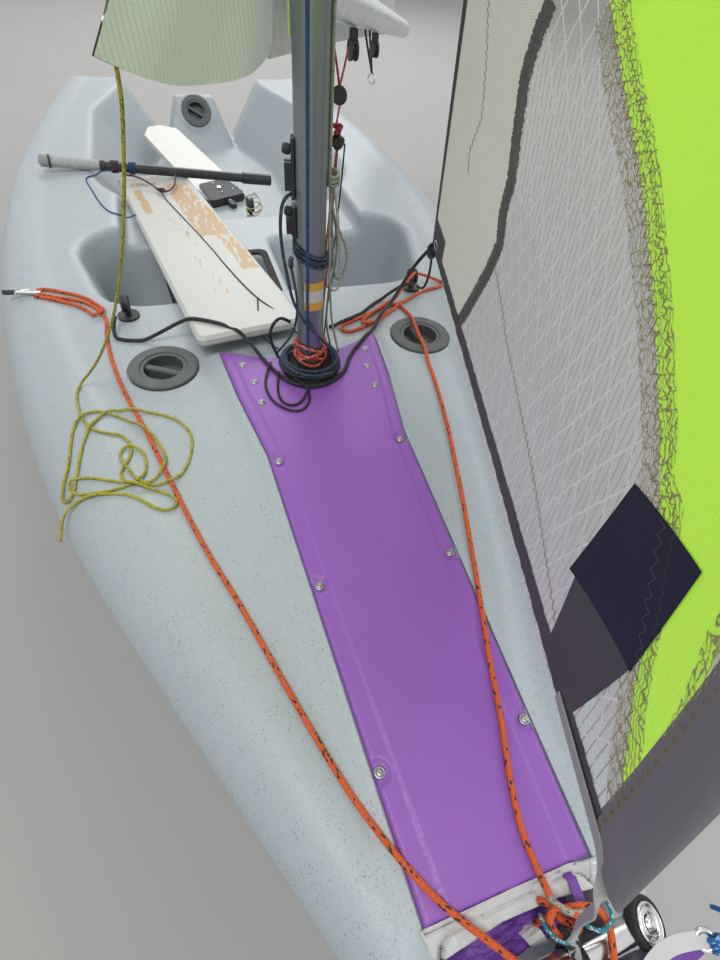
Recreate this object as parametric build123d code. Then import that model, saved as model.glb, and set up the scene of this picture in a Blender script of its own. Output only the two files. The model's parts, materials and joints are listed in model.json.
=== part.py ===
from build123d import *
from math import atan2, cos, degrees, radians, sin
import os

# Two-handed rotomoulded sailing dinghy, ashore, half rigged, sails loose.
# While it is built, x runs forward from the transom, y to port and z up from the ground.
# The files are written with the origin below the mast, because the mast is the natural centre.

# Main sizes
MAST_X = 2400.0
MAST_STEP_Z = 60.0
KEEL_BAND_HALF = 125.0
KEEL_BAND_TO_X = 2620.0
KEEL_BAND_TOP_Z = 30.0
TRANSOM_X = 0.0

# Longer than any piece, for cuts that go right through
FAR = 7000.0

# Hull stations, millimetres from the transom.
# columns: x, gunwale half beam, height of the widest point, half width of the flat deck,
# deck edge height, deck centre height, bilge half width, bilge height, bottom flat half width, bottom height
STATIONS = [
    (0, 602, 372, 470, 448, 448, 520, 96, 160, 8),
    (275, 637, 374, 508, 450, 450, 556, 91, 165, 8),
    (550, 668, 376, 545, 452, 452, 589, 88, 170, 8),
    (825, 692, 378, 574, 453, 453, 614, 87, 171, 8),
    (1100, 708, 380, 590, 454, 454, 628, 88, 170, 8),
    (1400, 708, 381, 586, 455, 457, 622, 94, 168, 8),
    (1700, 692, 382, 560, 455, 462, 598, 104, 165, 8),
    (1980, 657, 385, 514, 456, 470, 556, 115, 159, 8),
    (2250, 607, 388, 450, 456, 478, 500, 130, 150, 8),
    (2700, 473, 392, 310, 453, 470, 352, 160, 110, 12),
    (3050, 316, 393, 170, 447, 456, 205, 196, 70, 34),
    (3320, 190, 392, 92, 441, 447, 108, 232, 34, 84),
    (3500, 92, 390, 42, 436, 440, 50, 262, 16, 140),
    (3580, 34, 388, 12, 430, 432, 18, 280, 6, 180),
]

# Cockpit
FLOOR_Z = 190.0
COCKPIT_TOP_Z = 520.0
COCKPIT_TAPER = 32.0
COCKPIT_FLOOR_FRONT = 1330.0
COCKPIT_FLOOR_HALF = 285.0
COCKPIT_STERN_HALF = 165.0
FOOTWELL_FROM = 1675.0
FOOTWELL_TO = 1985.0
FOOTWELL_AFT_HALF = 430.0
FOOTWELL_FRONT_HALF = 350.0
FOOTWELL_TAPER = 14.0
THWART_Z = 400.0
TROUGH_HALF = 368.0
TROUGH_CORNER_R = 60.0

# Stern pillar that carries the rudder fittings
PILLAR_TOP_Z = 385.0
PILLAR_TOP_HALF = 96.0
PILLAR_FOOT_HALF = 170.0
PILLAR_TOP_LENGTH = 47.0
PILLAR_FOOT_LENGTH = 199.0

# Daggerboard and its case
BOARD_CHORD = 240.0
BOARD_THICK = 24.0
SLOT_CLEAR = 6.0
SLOT_X = 1850.0
SLOT_CORNER_R = 15.0
BOARD_CORNER_R = 16.0
BOARD_BEVEL = 7.0
CASE_HALF = 62.0
CASE_RIM_THICK = 4.0
CASE_RIM_WIDTH = 20.0

# Mast, boom and gooseneck
MAST_R = 25.5
MAST_WALL = 1.8
MAST_SOCKET_CLEAR = 0.5
MAST_JOINT_Z = 2680.0
SLEEVE_HALF = 30.0
COLLAR_R = 58.0
MAST_TOP_Z = 5480.0
TRACK_PROUD = 9.0
TRACK_WIDTH = 13.0
TRACK_FROM_Z = 1180.0
BOOM_R = 30.0
BOOM_WALL = 1.8
GOOSENECK_Z = 1060.0
PIN_BACK = 52.0
BOOM_YAW = 26.3
BOOM_DROOP = 8.8
BOOM_START = 62.0
BOOM_LENGTH = 2000.0

# Masthead crane and its sheave
CAP_THICK = 14.0
CRANE_REACH = 78.0
CRANE_HALF = 11.0
CRANE_DEPTH = 34.0
SHEAVE_BACK = 57.0
SHEAVE_DROP = 10.0
SHEAVE_R = 17.0
SHEAVE_THICK = 11.0

# Gooseneck: lugs and barrel on the mast
LUG_HALF_SPAN = 24.0
LUG_THICK = 6.0
LUG_R = 11.0

# Foredeck panel
PANEL_THICK = 5.0
PANEL_FRONT_X = 3296.0
PANEL_SLOPE_Z0 = 489.0
PANEL_SLOPE_Z1 = 450.0
PANEL_GAP = 1.6
PANEL_HOLE_CLEAR = 6.0
# columns: x, half width of the panel
PANEL_EDGE = [(2303, 176), (2450, 160), (2610, 134), (2900, 122), (3296, 106)]

# Hatches, with the lids turned as they are found
HATCH_R = 71.0
HATCH_LID_R = 47.0
HATCH_RIM_HEIGHT = 9.0
HATCH_LID_GAP = 0.6
# columns: name, x, y, z of the centre, tilt of the axis towards the bow, turn of the grip
HATCHES = [
    ("fore_starboard", 2312, -294, 465, 0.0, 60.0),
    ("fore_port", 2312, 294, 465, 0.0, 6.0),
    ("stern", 92, 0, 332, 51.9, 58.0),
]

# Bow bar across the mouth of the sail chute
MOUTH_FROM = 3300.0
MOUTH_TO = 3405.0
MOUTH_HALF = 98.0
MOUTH_FLOOR_Z = 330.0
BAR_X = 3372.0
BAR_Z = 432.0
BAR_R = 15.0
BAR_HALF = 141.0

# Gap between a soft or loose piece and what it lies on
SOFT_GAP = 0.3

# Gooseneck pin and like pins
PIN_R = 4.0

# Eye on the mast for the head of the jib
EYE_R = 9.0
EYE_WIRE_R = 2.6

# Rope blocks under the boom, distance from the gooseneck
BOOM_BLOCKS = [520, 960]

# Small rope blocks, on the boom and on the deck
BLOCK_R = 19.0
BLOCK_THICK = 17.0
BLOCK_GAP = 6.0
BLOCK_SHEAVE_R = 14.0

# Sails
SAIL_THICK = 3.0
MAIN_HEAD_DROP = 80.0
MAIN_HEAD_Z = MAST_TOP_Z - MAIN_HEAD_DROP
TACK_CORNER = (2598, -252, 1030)
CLEW_BACK = 70.0
MAIN_HEAD_WIDTH = 60.0
# columns: share of the height, luff x, luff y, luff height, belly of the slice
MAIN_ROWS = [
    (0.0, 2335, -42, 980, 20),
    (0.035, 2338, -42, 1140, 20),
    (0.12, 2364.7, -1.5, 1420, -50),
    (0.45, 2364.7, -1.5, 2900, -110),
    (0.75, 2364.7, -1.5, 4250, -70),
    (1.0, 2364.7, -1.5, MAIN_HEAD_Z, -4),
]
JIB_HEAD_Z = 3600.0
JIB_TOP_SHARE = 0.985
JIB_HEAD_REACH = 34.0
JIB_TACK = (3306, 14, 655)
JIB_CLEW = (2200, 343, 629)
JIB_LEECH_HOLLOW = 250.0
JIB_LEECH_TWIST = 120.0
# columns: share of the height, belly of the slice to port, sag of the slice
JIB_ROWS = [
    (0.0, 55, 125),
    (0.035, 65, 46),
    (0.1, 81, 7),
    (0.3, 112, 0),
    (0.65, 99, 0),
    (JIB_TOP_SHARE, 1, 0),
]

# Jib sheet blocks on the aft edge of the foredeck
DECK_BLOCK_X = 2098.0
DECK_BLOCK_Y = 356.0
DECK_BLOCK_Z = 463.5
DECK_BLOCK_R = 24.0
DECK_BLOCK_BASE = 5.0
DECK_BLOCK_POST_R = 7.0
DECK_BLOCK_RISE = 33.0

# Mainsheet swivel on the cockpit floor
SHEET_X = 1120.0
SHEET_Y = 85.0
SHEET_BASE_R = 38.0
SHEET_POST_R = 13.0
SHEET_PIN_R = 6.0
SHEET_ARM_RISE = 47.0
SHEET_ARM_LENGTH = 105.0
SHEET_HUB_R = 17.0
SHEET_HUB_HEIGHT = 14.0
RATCHET_R = 27.0

# Daggerboard as it lies, middle of its two ends
BOARD_FAR = (1090, -262, 389)
BOARD_NEAR = (2290, -96, 512)

# Rudder as it lies in the cockpit
STOCK_PIVOT = (790, 0, 220.6)
BLADE_TIP = (200, -262, 332)
BLADE_LENGTH = 560.0
BLADE_CHORD = 190.0
BLADE_THICK = 20.0
STOCK_GAP = 22.0
STOCK_WALL = 6.0

# Tiller and extension as they lie across the boat
TILLER_START = (1190, -585, 489.0)
TILLER_END = (1120, 170, 379.8)
TILLER_R = 15.0
EXTENSION_R = 8.0
# shares of the tiller's length
TILLER_SOCKET_FROM = 0.86
EXTENSION_SHARE = 0.8

# Rudder hangers
GUDGEON_Z = [140, 340]
GUDGEON_REACH = 34.0
GUDGEON_BORE_R = 4.1
GUDGEON_EYE_R = 9.0


def save(name, solid):
    """Write one piece, moved so that the origin lies below the mast."""
    placed = Pos(-MAST_X, 0, 0) * solid
    export_step(placed, f"parts/{name}.step")


def cylinder_between(start, end, radius):
    """Solid round bar from one point to another."""
    start = Vector(*start)
    end = Vector(*end)
    along = end - start
    return extrude(Plane(origin=start, z_dir=along) * Circle(radius), along.length)


def tube_between(start, end, radius, wall):
    """Open round tube from one point to another."""
    start = Vector(*start)
    end = Vector(*end)
    along = end - start
    ring = Circle(radius) - Circle(radius - wall)
    return extrude(Plane(origin=start, z_dir=along) * ring, along.length)


def box_between(low, high):
    """Box given by its lowest and highest corners."""
    size = [high[i] - low[i] for i in range(3)]
    middle = [(high[i] + low[i]) / 2 for i in range(3)]
    return Pos(*middle) * Box(*size)


def panel_z(x):
    """Top of the foredeck panel at a station."""
    share = (x - PANEL_EDGE[0][0]) / (PANEL_FRONT_X - PANEL_EDGE[0][0])
    return PANEL_SLOPE_Z0 + share * (PANEL_SLOPE_Z1 - PANEL_SLOPE_Z0)


def hull_section(station):
    """One closed cross section of the hull, both sides."""
    x, beam, beam_z, deck_half, deck_z, crown_z, bilge, bilge_z, flat, bottom_z = station
    side_y = (beam + bilge) / 2 + 0.055 * (beam_z - bilge_z) + 6
    side_z = (beam_z + bilge_z) / 2
    roll_y = deck_half + 0.78 * (beam - deck_half)
    roll_z = beam_z + 0.72 * (deck_z - beam_z)
    lines = []
    for side in (1, -1):
        keel = (x, side * flat, bottom_z)
        turn = (x, side * bilge, bilge_z)
        wide = (x, side * beam, beam_z)
        edge = (x, side * deck_half, deck_z)
        lines.append(Line(keel, turn))
        lines.append(ThreePointArc(turn, (x, side * side_y, side_z), wide))
        lines.append(ThreePointArc(wide, (x, side * roll_y, roll_z), edge))
        lines.append(Line(edge, (x, 0, crown_z)))
    lines.append(Line((x, flat, bottom_z), (x, -flat, bottom_z)))
    return make_face(Wire([piece.edge() for piece in lines]))


def cockpit_cut():
    """Open aft cockpit with flared walls, running out through the transom."""
    outline = Polyline(
        (-200, COCKPIT_STERN_HALF),
        (120, COCKPIT_STERN_HALF),
        (520, COCKPIT_FLOOR_HALF),
        (COCKPIT_FLOOR_FRONT, COCKPIT_FLOOR_HALF),
        (COCKPIT_FLOOR_FRONT, -COCKPIT_FLOOR_HALF),
        (520, -COCKPIT_FLOOR_HALF),
        (120, -COCKPIT_STERN_HALF),
        (-200, -COCKPIT_STERN_HALF),
        close=True,
    )
    floor = make_face(outline)
    front = floor.vertices().sort_by(Axis.X)[-2:]
    floor = fillet(front, 180)
    return extrude(Pos(0, 0, FLOOR_Z) * floor, COCKPIT_TOP_Z - FLOOR_Z, taper=-COCKPIT_TAPER)


def footwell_cut():
    """Forward footwell between the thwart and the foredeck."""
    outline = Polyline(
        (FOOTWELL_FROM, FOOTWELL_AFT_HALF),
        (FOOTWELL_TO, FOOTWELL_FRONT_HALF),
        (FOOTWELL_TO, -FOOTWELL_FRONT_HALF),
        (FOOTWELL_FROM, -FOOTWELL_AFT_HALF),
        close=True,
    )
    floor = make_face(outline)
    floor = fillet(floor.vertices(), 70)
    return extrude(Pos(0, 0, FLOOR_Z) * floor, COCKPIT_TOP_Z - FLOOR_Z, taper=-FOOTWELL_TAPER)


def stern_pillar():
    """Pillar on the centreline at the transom, with the sloping face for its hatch."""
    foot = Pos(TRANSOM_X + PILLAR_FOOT_LENGTH / 2, 0, FLOOR_Z - 20)
    foot_plan = Rectangle(PILLAR_FOOT_LENGTH, 2 * PILLAR_FOOT_HALF)
    top = Pos(TRANSOM_X + PILLAR_TOP_LENGTH / 2, 0, PILLAR_TOP_Z)
    top_plan = Rectangle(PILLAR_TOP_LENGTH, 2 * PILLAR_TOP_HALF)
    return loft([foot * foot_plan, top * top_plan], ruled=True)


def panel_plan(grow):
    """Outline of the foredeck panel, seen from above, grown by a gap."""
    side = [(x, half + grow) for x, half in PANEL_EDGE]
    side[0] = (side[0][0] - grow, side[0][1])
    side[-1] = (side[-1][0] + grow, side[-1][1])
    rear_middle = (PANEL_EDGE[0][0] + 52 - grow, 0)
    other = [(x, -y) for x, y in reversed(side)]
    outline = [Polyline(*side)]
    outline.append(Line(side[-1], other[0]))
    outline.append(Polyline(*other))
    outline.append(ThreePointArc(other[-1], rear_middle, side[0]))
    edges = [edge for piece in outline for edge in piece.edges()]
    return make_face(Wire(edges))


def panel_slab(grow, low, high):
    """Slab that follows the slope of the panel, from low to high, both measured from its top."""
    run = PANEL_FRONT_X - PANEL_EDGE[0][0]
    slope = degrees(atan2(PANEL_SLOPE_Z1 - PANEL_SLOPE_Z0, run))
    middle = (PANEL_EDGE[0][0] + PANEL_FRONT_X) / 2
    tilt = Pos(middle, 0, panel_z(middle)) * Rot(0, -slope, 0)
    slab = tilt * box_between((-run, -run, low), (run, run, high))
    tall = extrude(panel_plan(grow), FAR)
    return slab & tall


def hatch_place(row):
    """Location of one hatch on its deck."""
    name, x, y, z, tilt, turn = row
    return Pos(x, y, z) * Rot(0, tilt, 0)


def make_hull():
    """Decked hull with open cockpit, footwell, board slot, mast socket and chute mouth."""
    sections = [hull_section(station) for station in STATIONS]
    body = loft(sections)
    band = box_between((TRANSOM_X, -KEEL_BAND_HALF, 0), (KEEL_BAND_TO_X, KEEL_BAND_HALF, KEEL_BAND_TOP_Z))
    body = body + band
    body = body - cockpit_cut() - footwell_cut()
    spine = panel_slab(12, -70, -PANEL_THICK)
    pillar = stern_pillar()
    case = box_between((FOOTWELL_FROM - 60, -CASE_HALF, FLOOR_Z - 20), (FOOTWELL_TO + 90, CASE_HALF, THWART_Z))
    body = body + spine + pillar + case
    trough = box_between((FOOTWELL_FROM - 330, -TROUGH_HALF, THWART_Z), (FOOTWELL_TO + 60, TROUGH_HALF, FAR))
    trough = fillet(trough.edges().filter_by(Axis.Z), TROUGH_CORNER_R)
    body = body - trough
    body = body - panel_slab(PANEL_GAP, -PANEL_THICK, 60)
    slot = Rectangle(BOARD_CHORD + 2 * SLOT_CLEAR, BOARD_THICK + 2 * SLOT_CLEAR)
    body = body - extrude(Pos(SLOT_X, 0, -SLOT_CORNER_R) * fillet(slot.vertices(), SLOT_CORNER_R), FAR)
    socket = Circle(MAST_R + MAST_SOCKET_CLEAR)
    body = body - extrude(Pos(MAST_X, 0, MAST_STEP_Z) * socket, FAR)
    mouth = box_between((MOUTH_FROM + PANEL_GAP, -MOUTH_HALF, MOUTH_FLOOR_Z), (MOUTH_TO, MOUTH_HALF, FAR))
    mouth = fillet(mouth.edges().filter_by(Axis.Z), 22)
    body = body - mouth
    body = body - cylinder_between((BAR_X, -BAR_HALF - 1, BAR_Z), (BAR_X, BAR_HALF + 1, BAR_Z), BAR_R + 0.3)
    for side in (1, -1):
        seat = Pos(DECK_BLOCK_X, side * DECK_BLOCK_Y, DECK_BLOCK_Z)
        body = body + extrude(seat * Circle(DECK_BLOCK_R + 5), -30)
        body = body - extrude(seat * Circle(DECK_BLOCK_R + 3), 40)
    for row in HATCHES:
        body = body + extrude(hatch_place(row) * Circle(HATCH_R + 6), -30)
        body = body - extrude(hatch_place(row) * Circle(HATCH_R + 2), 40)
        body = body - extrude(hatch_place(row) * Circle(HATCH_LID_R + 14), -90)
    return body


def make_panel():
    """Coloured cover over the sail chute, with the mast passing through it."""
    slab = panel_slab(0, -PANEL_THICK, 0)
    hole = extrude(Pos(MAST_X, 0, 0) * Circle(MAST_R + PANEL_HOLE_CLEAR), FAR)
    return slab - hole


def make_hatch_rim(row):
    """Screwed-down outer ring of a hatch."""
    ring = Circle(HATCH_R) - Circle(HATCH_LID_R + HATCH_LID_GAP)
    rim = extrude(ring, HATCH_RIM_HEIGHT)
    rim = fillet(rim.edges().filter_by(GeomType.CIRCLE).sort_by(Axis.Z)[-2:], 3.5)
    lip = Pos(0, 0, -14) * extrude(Circle(HATCH_LID_R + 13) - Circle(HATCH_LID_R + HATCH_LID_GAP), 14)
    return hatch_place(row) * (rim + lip)


def make_hatch_lid(row):
    """Turning lid, dished, with a straight grip bar across it."""
    disc = extrude(Circle(HATCH_LID_R), 6)
    wall = Pos(0, 0, -26) * extrude(Circle(HATCH_LID_R) - Circle(HATCH_LID_R - 5), 26)
    dish = Pos(0, 0, -26) * extrude(Circle(HATCH_LID_R), 3)
    disc = disc - Pos(0, 0, -1) * extrude(Circle(HATCH_LID_R - 7), 10)
    grip = Pos(0, 0, -11.5) * Box(2 * HATCH_LID_R - 4, 15, 25)
    grip = fillet(grip.edges().filter_by(Axis.X).sort_by(Axis.Z)[-2:], 5)
    return hatch_place(row) * Rot(0, 0, row[5]) * (disc + wall + dish + grip)


def mast_tube(low, high, track_from):
    """Mast tube with the luff track on its aft side."""
    tube = extrude(Pos(MAST_X, 0, low) * (Circle(MAST_R) - Circle(MAST_R - MAST_WALL)), high - low)
    back = MAST_X - MAST_R - TRACK_PROUD
    track = box_between((back, -TRACK_WIDTH / 2, track_from), (MAST_X - MAST_R + 1.2, TRACK_WIDTH / 2, high))
    groove = box_between((back - 1, -1.6, track_from - 1), (back + 6, 1.6, high + 1))
    channel = extrude(Pos(back + 5, 0, track_from - 1) * Circle(3.6), high - track_from + 2)
    return tube + (track - groove - channel)


def boom_point(distance, side=0.0, up=0.0):
    """Point at a distance along the boom from the gooseneck pin, moved sideways and up."""
    yaw = radians(180 - BOOM_YAW)
    droop = radians(BOOM_DROOP)
    pin_x = MAST_X - PIN_BACK
    flat = distance * cos(droop) + up * sin(droop)
    x = pin_x + flat * cos(yaw) - side * sin(yaw)
    y = flat * sin(yaw) + side * cos(yaw)
    z = GOOSENECK_Z - distance * sin(droop) + up * cos(droop)
    return (x, y, z)


def sail_row(luff, leech, belly, thick):
    """One thin slice of a sail, a flat arc band between luff and leech."""
    luff = Vector(*luff)
    leech = Vector(*leech)
    chord = leech - luff
    across = Vector(-chord.Y, chord.X, 0).normalized()
    middle = luff + chord * 0.42 + across * belly
    front = ThreePointArc(luff, middle, leech)
    shift = across * thick
    back = ThreePointArc(leech + shift, middle + shift, luff + shift)
    lines = [front, Line(leech, leech + shift), back, Line(luff + shift, luff)]
    return make_face(Wire([piece.edge() for piece in lines]))


def make_masthead():
    """Plug and crane at the top of the mast, with cheeks for the halyard sheave."""
    top_z = MAST_TOP_Z + CAP_THICK
    plug = extrude(Pos(MAST_X, 0, MAST_TOP_Z) * Circle(MAST_R + 1), CAP_THICK)
    crane_low = (MAST_X - CRANE_REACH, -CRANE_HALF, MAST_TOP_Z - CRANE_DEPTH)
    crane = box_between(crane_low, (MAST_X - MAST_R - TRACK_PROUD - 0.4, CRANE_HALF, top_z))
    arm = box_between((MAST_X - CRANE_REACH / 2, -CRANE_HALF, MAST_TOP_Z), (MAST_X, CRANE_HALF, top_z))
    slot_low = (MAST_X - FAR, -SHEAVE_THICK / 2 - 0.5, 0)
    slot = box_between(slot_low, (MAST_X - MAST_R - TRACK_PROUD - 2.5, SHEAVE_THICK / 2 + 0.5, FAR))
    return plug + (crane + arm - slot)


def make_sheave():
    """Grooved wheel in the masthead crane, on its pin."""
    axle = Pos(MAST_X - SHEAVE_BACK, 0, MAST_TOP_Z - SHEAVE_DROP)
    wheel = axle * Rot(90, 0, 0) * Cylinder(SHEAVE_R, SHEAVE_THICK)
    rope = axle * Rot(90, 0, 0) * Torus(SHEAVE_R + 1.5, 4)
    return wheel - rope


def make_jib_hound():
    """Plate and eye on the front of the mast where the top of the jib is hung."""
    plate_x = MAST_X + MAST_R + 0.2
    top_z = JIB_TACK[2] + (JIB_HEAD_Z - JIB_TACK[2]) * JIB_TOP_SHARE
    eye_z = top_z + EYE_R + EYE_WIRE_R + SOFT_GAP
    plate = box_between((plate_x, -9, eye_z - 45), (plate_x + 4, 9, eye_z + 25))
    eye_x = MAST_X + MAST_R + JIB_HEAD_REACH
    eye = Pos(eye_x, SAIL_THICK, eye_z) * Rot(90, 0, 0) * Torus(EYE_R, EYE_WIRE_R)
    arm = cylinder_between((plate_x + 2, 0, eye_z), (eye_x - EYE_R, SAIL_THICK, eye_z), EYE_WIRE_R)
    return plate + arm + eye


def make_gooseneck_bracket():
    """Two lugs and their upright pin on the aft side of the mast."""
    pin_x = MAST_X - PIN_BACK
    saddle_half = 2 * LUG_HALF_SPAN - 3
    saddle = Pos(MAST_X, 0, GOOSENECK_Z - saddle_half) * (Circle(MAST_R + 4) - Circle(MAST_R + 0.2))
    saddle = extrude(saddle, 2 * saddle_half)
    half = box_between((MAST_X - FAR, -FAR, 0), (MAST_X - 3, FAR, FAR))
    saddle = saddle & half
    lugs = Part()
    for low in (GOOSENECK_Z - LUG_HALF_SPAN, GOOSENECK_Z + LUG_HALF_SPAN - LUG_THICK):
        arm = box_between((pin_x, -LUG_R, low), (MAST_X - MAST_R - 2, LUG_R, low + LUG_THICK))
        round_end = extrude(Pos(pin_x, 0, low) * Circle(LUG_R), LUG_THICK)
        lugs = lugs + arm + round_end
    pin_half = LUG_HALF_SPAN + 5
    pin = extrude(Pos(pin_x, 0, GOOSENECK_Z - pin_half) * Circle(PIN_R), 2 * pin_half)
    head = extrude(Pos(pin_x, 0, GOOSENECK_Z + pin_half - 2) * Circle(PIN_R + 3), 3)
    return saddle + lugs + pin + head


def make_boom_jaw():
    """Barrel on the gooseneck pin with the neck and plug that carry the boom."""
    pin_x = MAST_X - PIN_BACK
    barrel_half = LUG_HALF_SPAN - LUG_THICK - 2
    barrel = extrude(Pos(pin_x, 0, GOOSENECK_Z - barrel_half) * Circle(LUG_R), 2 * barrel_half)
    neck = cylinder_between(boom_point(0), boom_point(BOOM_START - 8), 7.5)
    flange = cylinder_between(boom_point(BOOM_START - 8), boom_point(BOOM_START), BOOM_R)
    plug = cylinder_between(boom_point(BOOM_START), boom_point(BOOM_START + 40), BOOM_R - BOOM_WALL - 0.3)
    hole = extrude(Pos(pin_x, 0, 0) * Circle(PIN_R + 0.1), FAR)
    return barrel + neck + flange + plug - hole


def boom_plane(distance):
    """Plane across the boom: x to its starboard side, y up, z along it towards the stern."""
    start = Vector(*boom_point(distance))
    along = Vector(*boom_point(distance + 1)) - start
    side = Vector(*boom_point(distance, 1.0)) - start
    return Plane(origin=start, x_dir=side, z_dir=along)


def make_boom_end_cap():
    """Rounded plastic cap at the free end, with an eye below it."""
    cap = extrude(boom_plane(BOOM_START + BOOM_LENGTH) * Circle(BOOM_R), 16)
    cap = fillet(cap.edges().filter_by(GeomType.CIRCLE).sort_by(Axis.X)[:1], 6)
    return cap


def make_boom_block(distance):
    """Rope block hanging below the boom on a short eye strap."""
    x, y, z = boom_point(distance, 0, -BOOM_R - SOFT_GAP)
    strap_length = 20.0
    strap = Pos(x, y, z - 2 - strap_length / 2) * Box(18, 14, strap_length)
    centre = Pos(x, y, z - strap_length - BLOCK_R + 2)
    cheek = centre * Rot(90, 0, 0) * Cylinder(BLOCK_R, BLOCK_THICK)
    gap = centre * Pos(0, 0, -12) * Box(3 * BLOCK_R, BLOCK_GAP, 2.5 * BLOCK_R)
    sheave = centre * Rot(90, 0, 0) * Cylinder(BLOCK_SHEAVE_R, BLOCK_GAP + 3)
    return (strap + cheek) - gap + sheave


def make_mainsail():
    """Mainsail on the mast track and the boom, its lower front corner pulled out to starboard."""
    back = MAST_X - MAST_R - TRACK_PROUD - 0.4
    clew = Vector(*boom_point(BOOM_START + BOOM_LENGTH - CLEW_BACK, BOOM_R + 9, -20))
    head = Vector(back - MAIN_HEAD_WIDTH, 8, MAIN_HEAD_Z)
    sections = []
    for share, luff_x, luff_y, luff_z, belly in MAIN_ROWS:
        leech = clew + (head - clew) * share
        leech = leech + Vector(-0.30, 0.15, 0) * (1000 * share * (1 - share))
        sections.append(sail_row((luff_x, luff_y, luff_z), leech, belly, SAIL_THICK))
    sail = loft(sections, ruled=True)
    corner = Vector(*TACK_CORNER)
    low = Vector(MAIN_ROWS[0][1] - 11, MAIN_ROWS[0][2] + 5, MAIN_ROWS[0][3] + 4)
    high = Vector(MAIN_ROWS[2][1] - 16, MAIN_ROWS[2][2], MAIN_ROWS[2][3] - 20)
    flap = make_face(Polyline(low, corner, high, close=True))
    normal = flap.face().normal_at()
    return sail + extrude(flap, SAIL_THICK, dir=normal)


def jib_row(share, belly, sag):
    """One thin slice of the jib, an arc band that hangs to port and down."""
    tack = Vector(*JIB_TACK)
    head = Vector(MAST_X + MAST_R + JIB_HEAD_REACH, 0, JIB_HEAD_Z)
    clew = Vector(*JIB_CLEW)
    luff = tack + (head - tack) * share
    leech = clew + (head + Vector(-20, 0, 0) - clew) * share
    leech = leech + Vector(JIB_LEECH_HOLLOW, -JIB_LEECH_TWIST, 0) * (share * (1 - share))
    chord = leech - luff
    hang = Vector(chord.Y, -chord.X, 0).normalized() * belly + Vector(0, 0, -sag)
    middle = luff + chord * 0.45 + hang
    shift = hang.normalized() * SAIL_THICK
    front = ThreePointArc(luff, middle, leech)
    back = ThreePointArc(leech + shift, middle + shift, luff + shift)
    lines = [front, Line(leech, leech + shift), back, Line(luff + shift, luff)]
    return make_face(Wire([piece.edge() for piece in lines]))


def make_jib():
    """Jib on its own luff wire, from the bow to the mast."""
    return loft([jib_row(*row) for row in JIB_ROWS], ruled=True)


def make_chute_bundle():
    """Folded downwind sail stuffed into the mouth of its chute."""
    low = (MOUTH_FROM + 14, -MOUTH_HALF + 10, MOUTH_FLOOR_Z + SOFT_GAP)
    high = (BAR_X - BAR_R - 6, MOUTH_HALF - 10, BAR_Z - 30)
    bundle = box_between(low, high)
    return fillet(bundle.edges(), 12)


def make_deck_block(side):
    """Jib sheet lead at the aft edge of the foredeck: base, post and turned block."""
    place = Pos(DECK_BLOCK_X, side * DECK_BLOCK_Y, DECK_BLOCK_Z)
    base = extrude(Circle(DECK_BLOCK_R), DECK_BLOCK_BASE)
    post = extrude(Circle(DECK_BLOCK_POST_R), DECK_BLOCK_RISE - BLOCK_SHEAVE_R - 4)
    centre = Pos(0, 0, DECK_BLOCK_RISE)
    cheek = centre * Rot(90, 0, 0) * Cylinder(BLOCK_R, BLOCK_THICK)
    gap = centre * Pos(0, 0, 12) * Box(3 * BLOCK_R, BLOCK_GAP, 2.5 * BLOCK_R)
    sheave = centre * Rot(90, 0, 0) * Cylinder(BLOCK_SHEAVE_R, BLOCK_GAP + 3)
    return place * ((base + post + cheek) - gap + sheave)


def make_slot_rim():
    """Moulded rim round the top of the daggerboard case."""
    inner = Rectangle(BOARD_CHORD + 2 * SLOT_CLEAR, BOARD_THICK + 2 * SLOT_CLEAR)
    inner = fillet(inner.vertices(), SLOT_CORNER_R)
    rim = 2 * (SLOT_CLEAR + CASE_RIM_WIDTH)
    outer = Rectangle(BOARD_CHORD + rim, BOARD_THICK + rim)
    outer = fillet(outer.vertices(), SLOT_CORNER_R + CASE_RIM_WIDTH / 2)
    return extrude(Pos(SLOT_X, 0, THWART_Z) * (outer - inner), CASE_RIM_THICK)


def make_mainsheet_base():
    """Round post on the cockpit floor that the mainsheet arm turns on."""
    foot = Pos(SHEET_X, SHEET_Y, FLOOR_Z)
    base = foot * extrude(Circle(SHEET_BASE_R), 8)
    post = foot * extrude(Circle(SHEET_POST_R), SHEET_ARM_RISE - 1)
    pin = foot * extrude(Circle(SHEET_PIN_R), SHEET_ARM_RISE + SHEET_HUB_HEIGHT + 11)
    return base + post + pin


def make_mainsheet_arm():
    """Swivel arm with the cam cleat at its end."""
    place = Pos(SHEET_X, SHEET_Y, FLOOR_Z + SHEET_ARM_RISE)
    hub = extrude(Circle(SHEET_HUB_R), SHEET_HUB_HEIGHT)
    arm = box_between((0, -9, 0), (SHEET_ARM_LENGTH, 9, 8))
    seat = box_between((SHEET_ARM_LENGTH - 35, -22, 0), (SHEET_ARM_LENGTH + 7, 22, 10))
    cams = Part()
    for side in (1, -1):
        cams = cams + Pos(SHEET_ARM_LENGTH - 15, side * 12, 10) * extrude(Circle(9), 12)
    guide = Pos(SHEET_ARM_LENGTH + 3, 0, 23) * Rot(0, 90, 0) * Torus(12, 3)
    hole = Pos(0, 0, -5) * extrude(Circle(SHEET_PIN_R + 0.1), 60)
    return place * (hub + arm + seat + cams + guide - hole)


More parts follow.
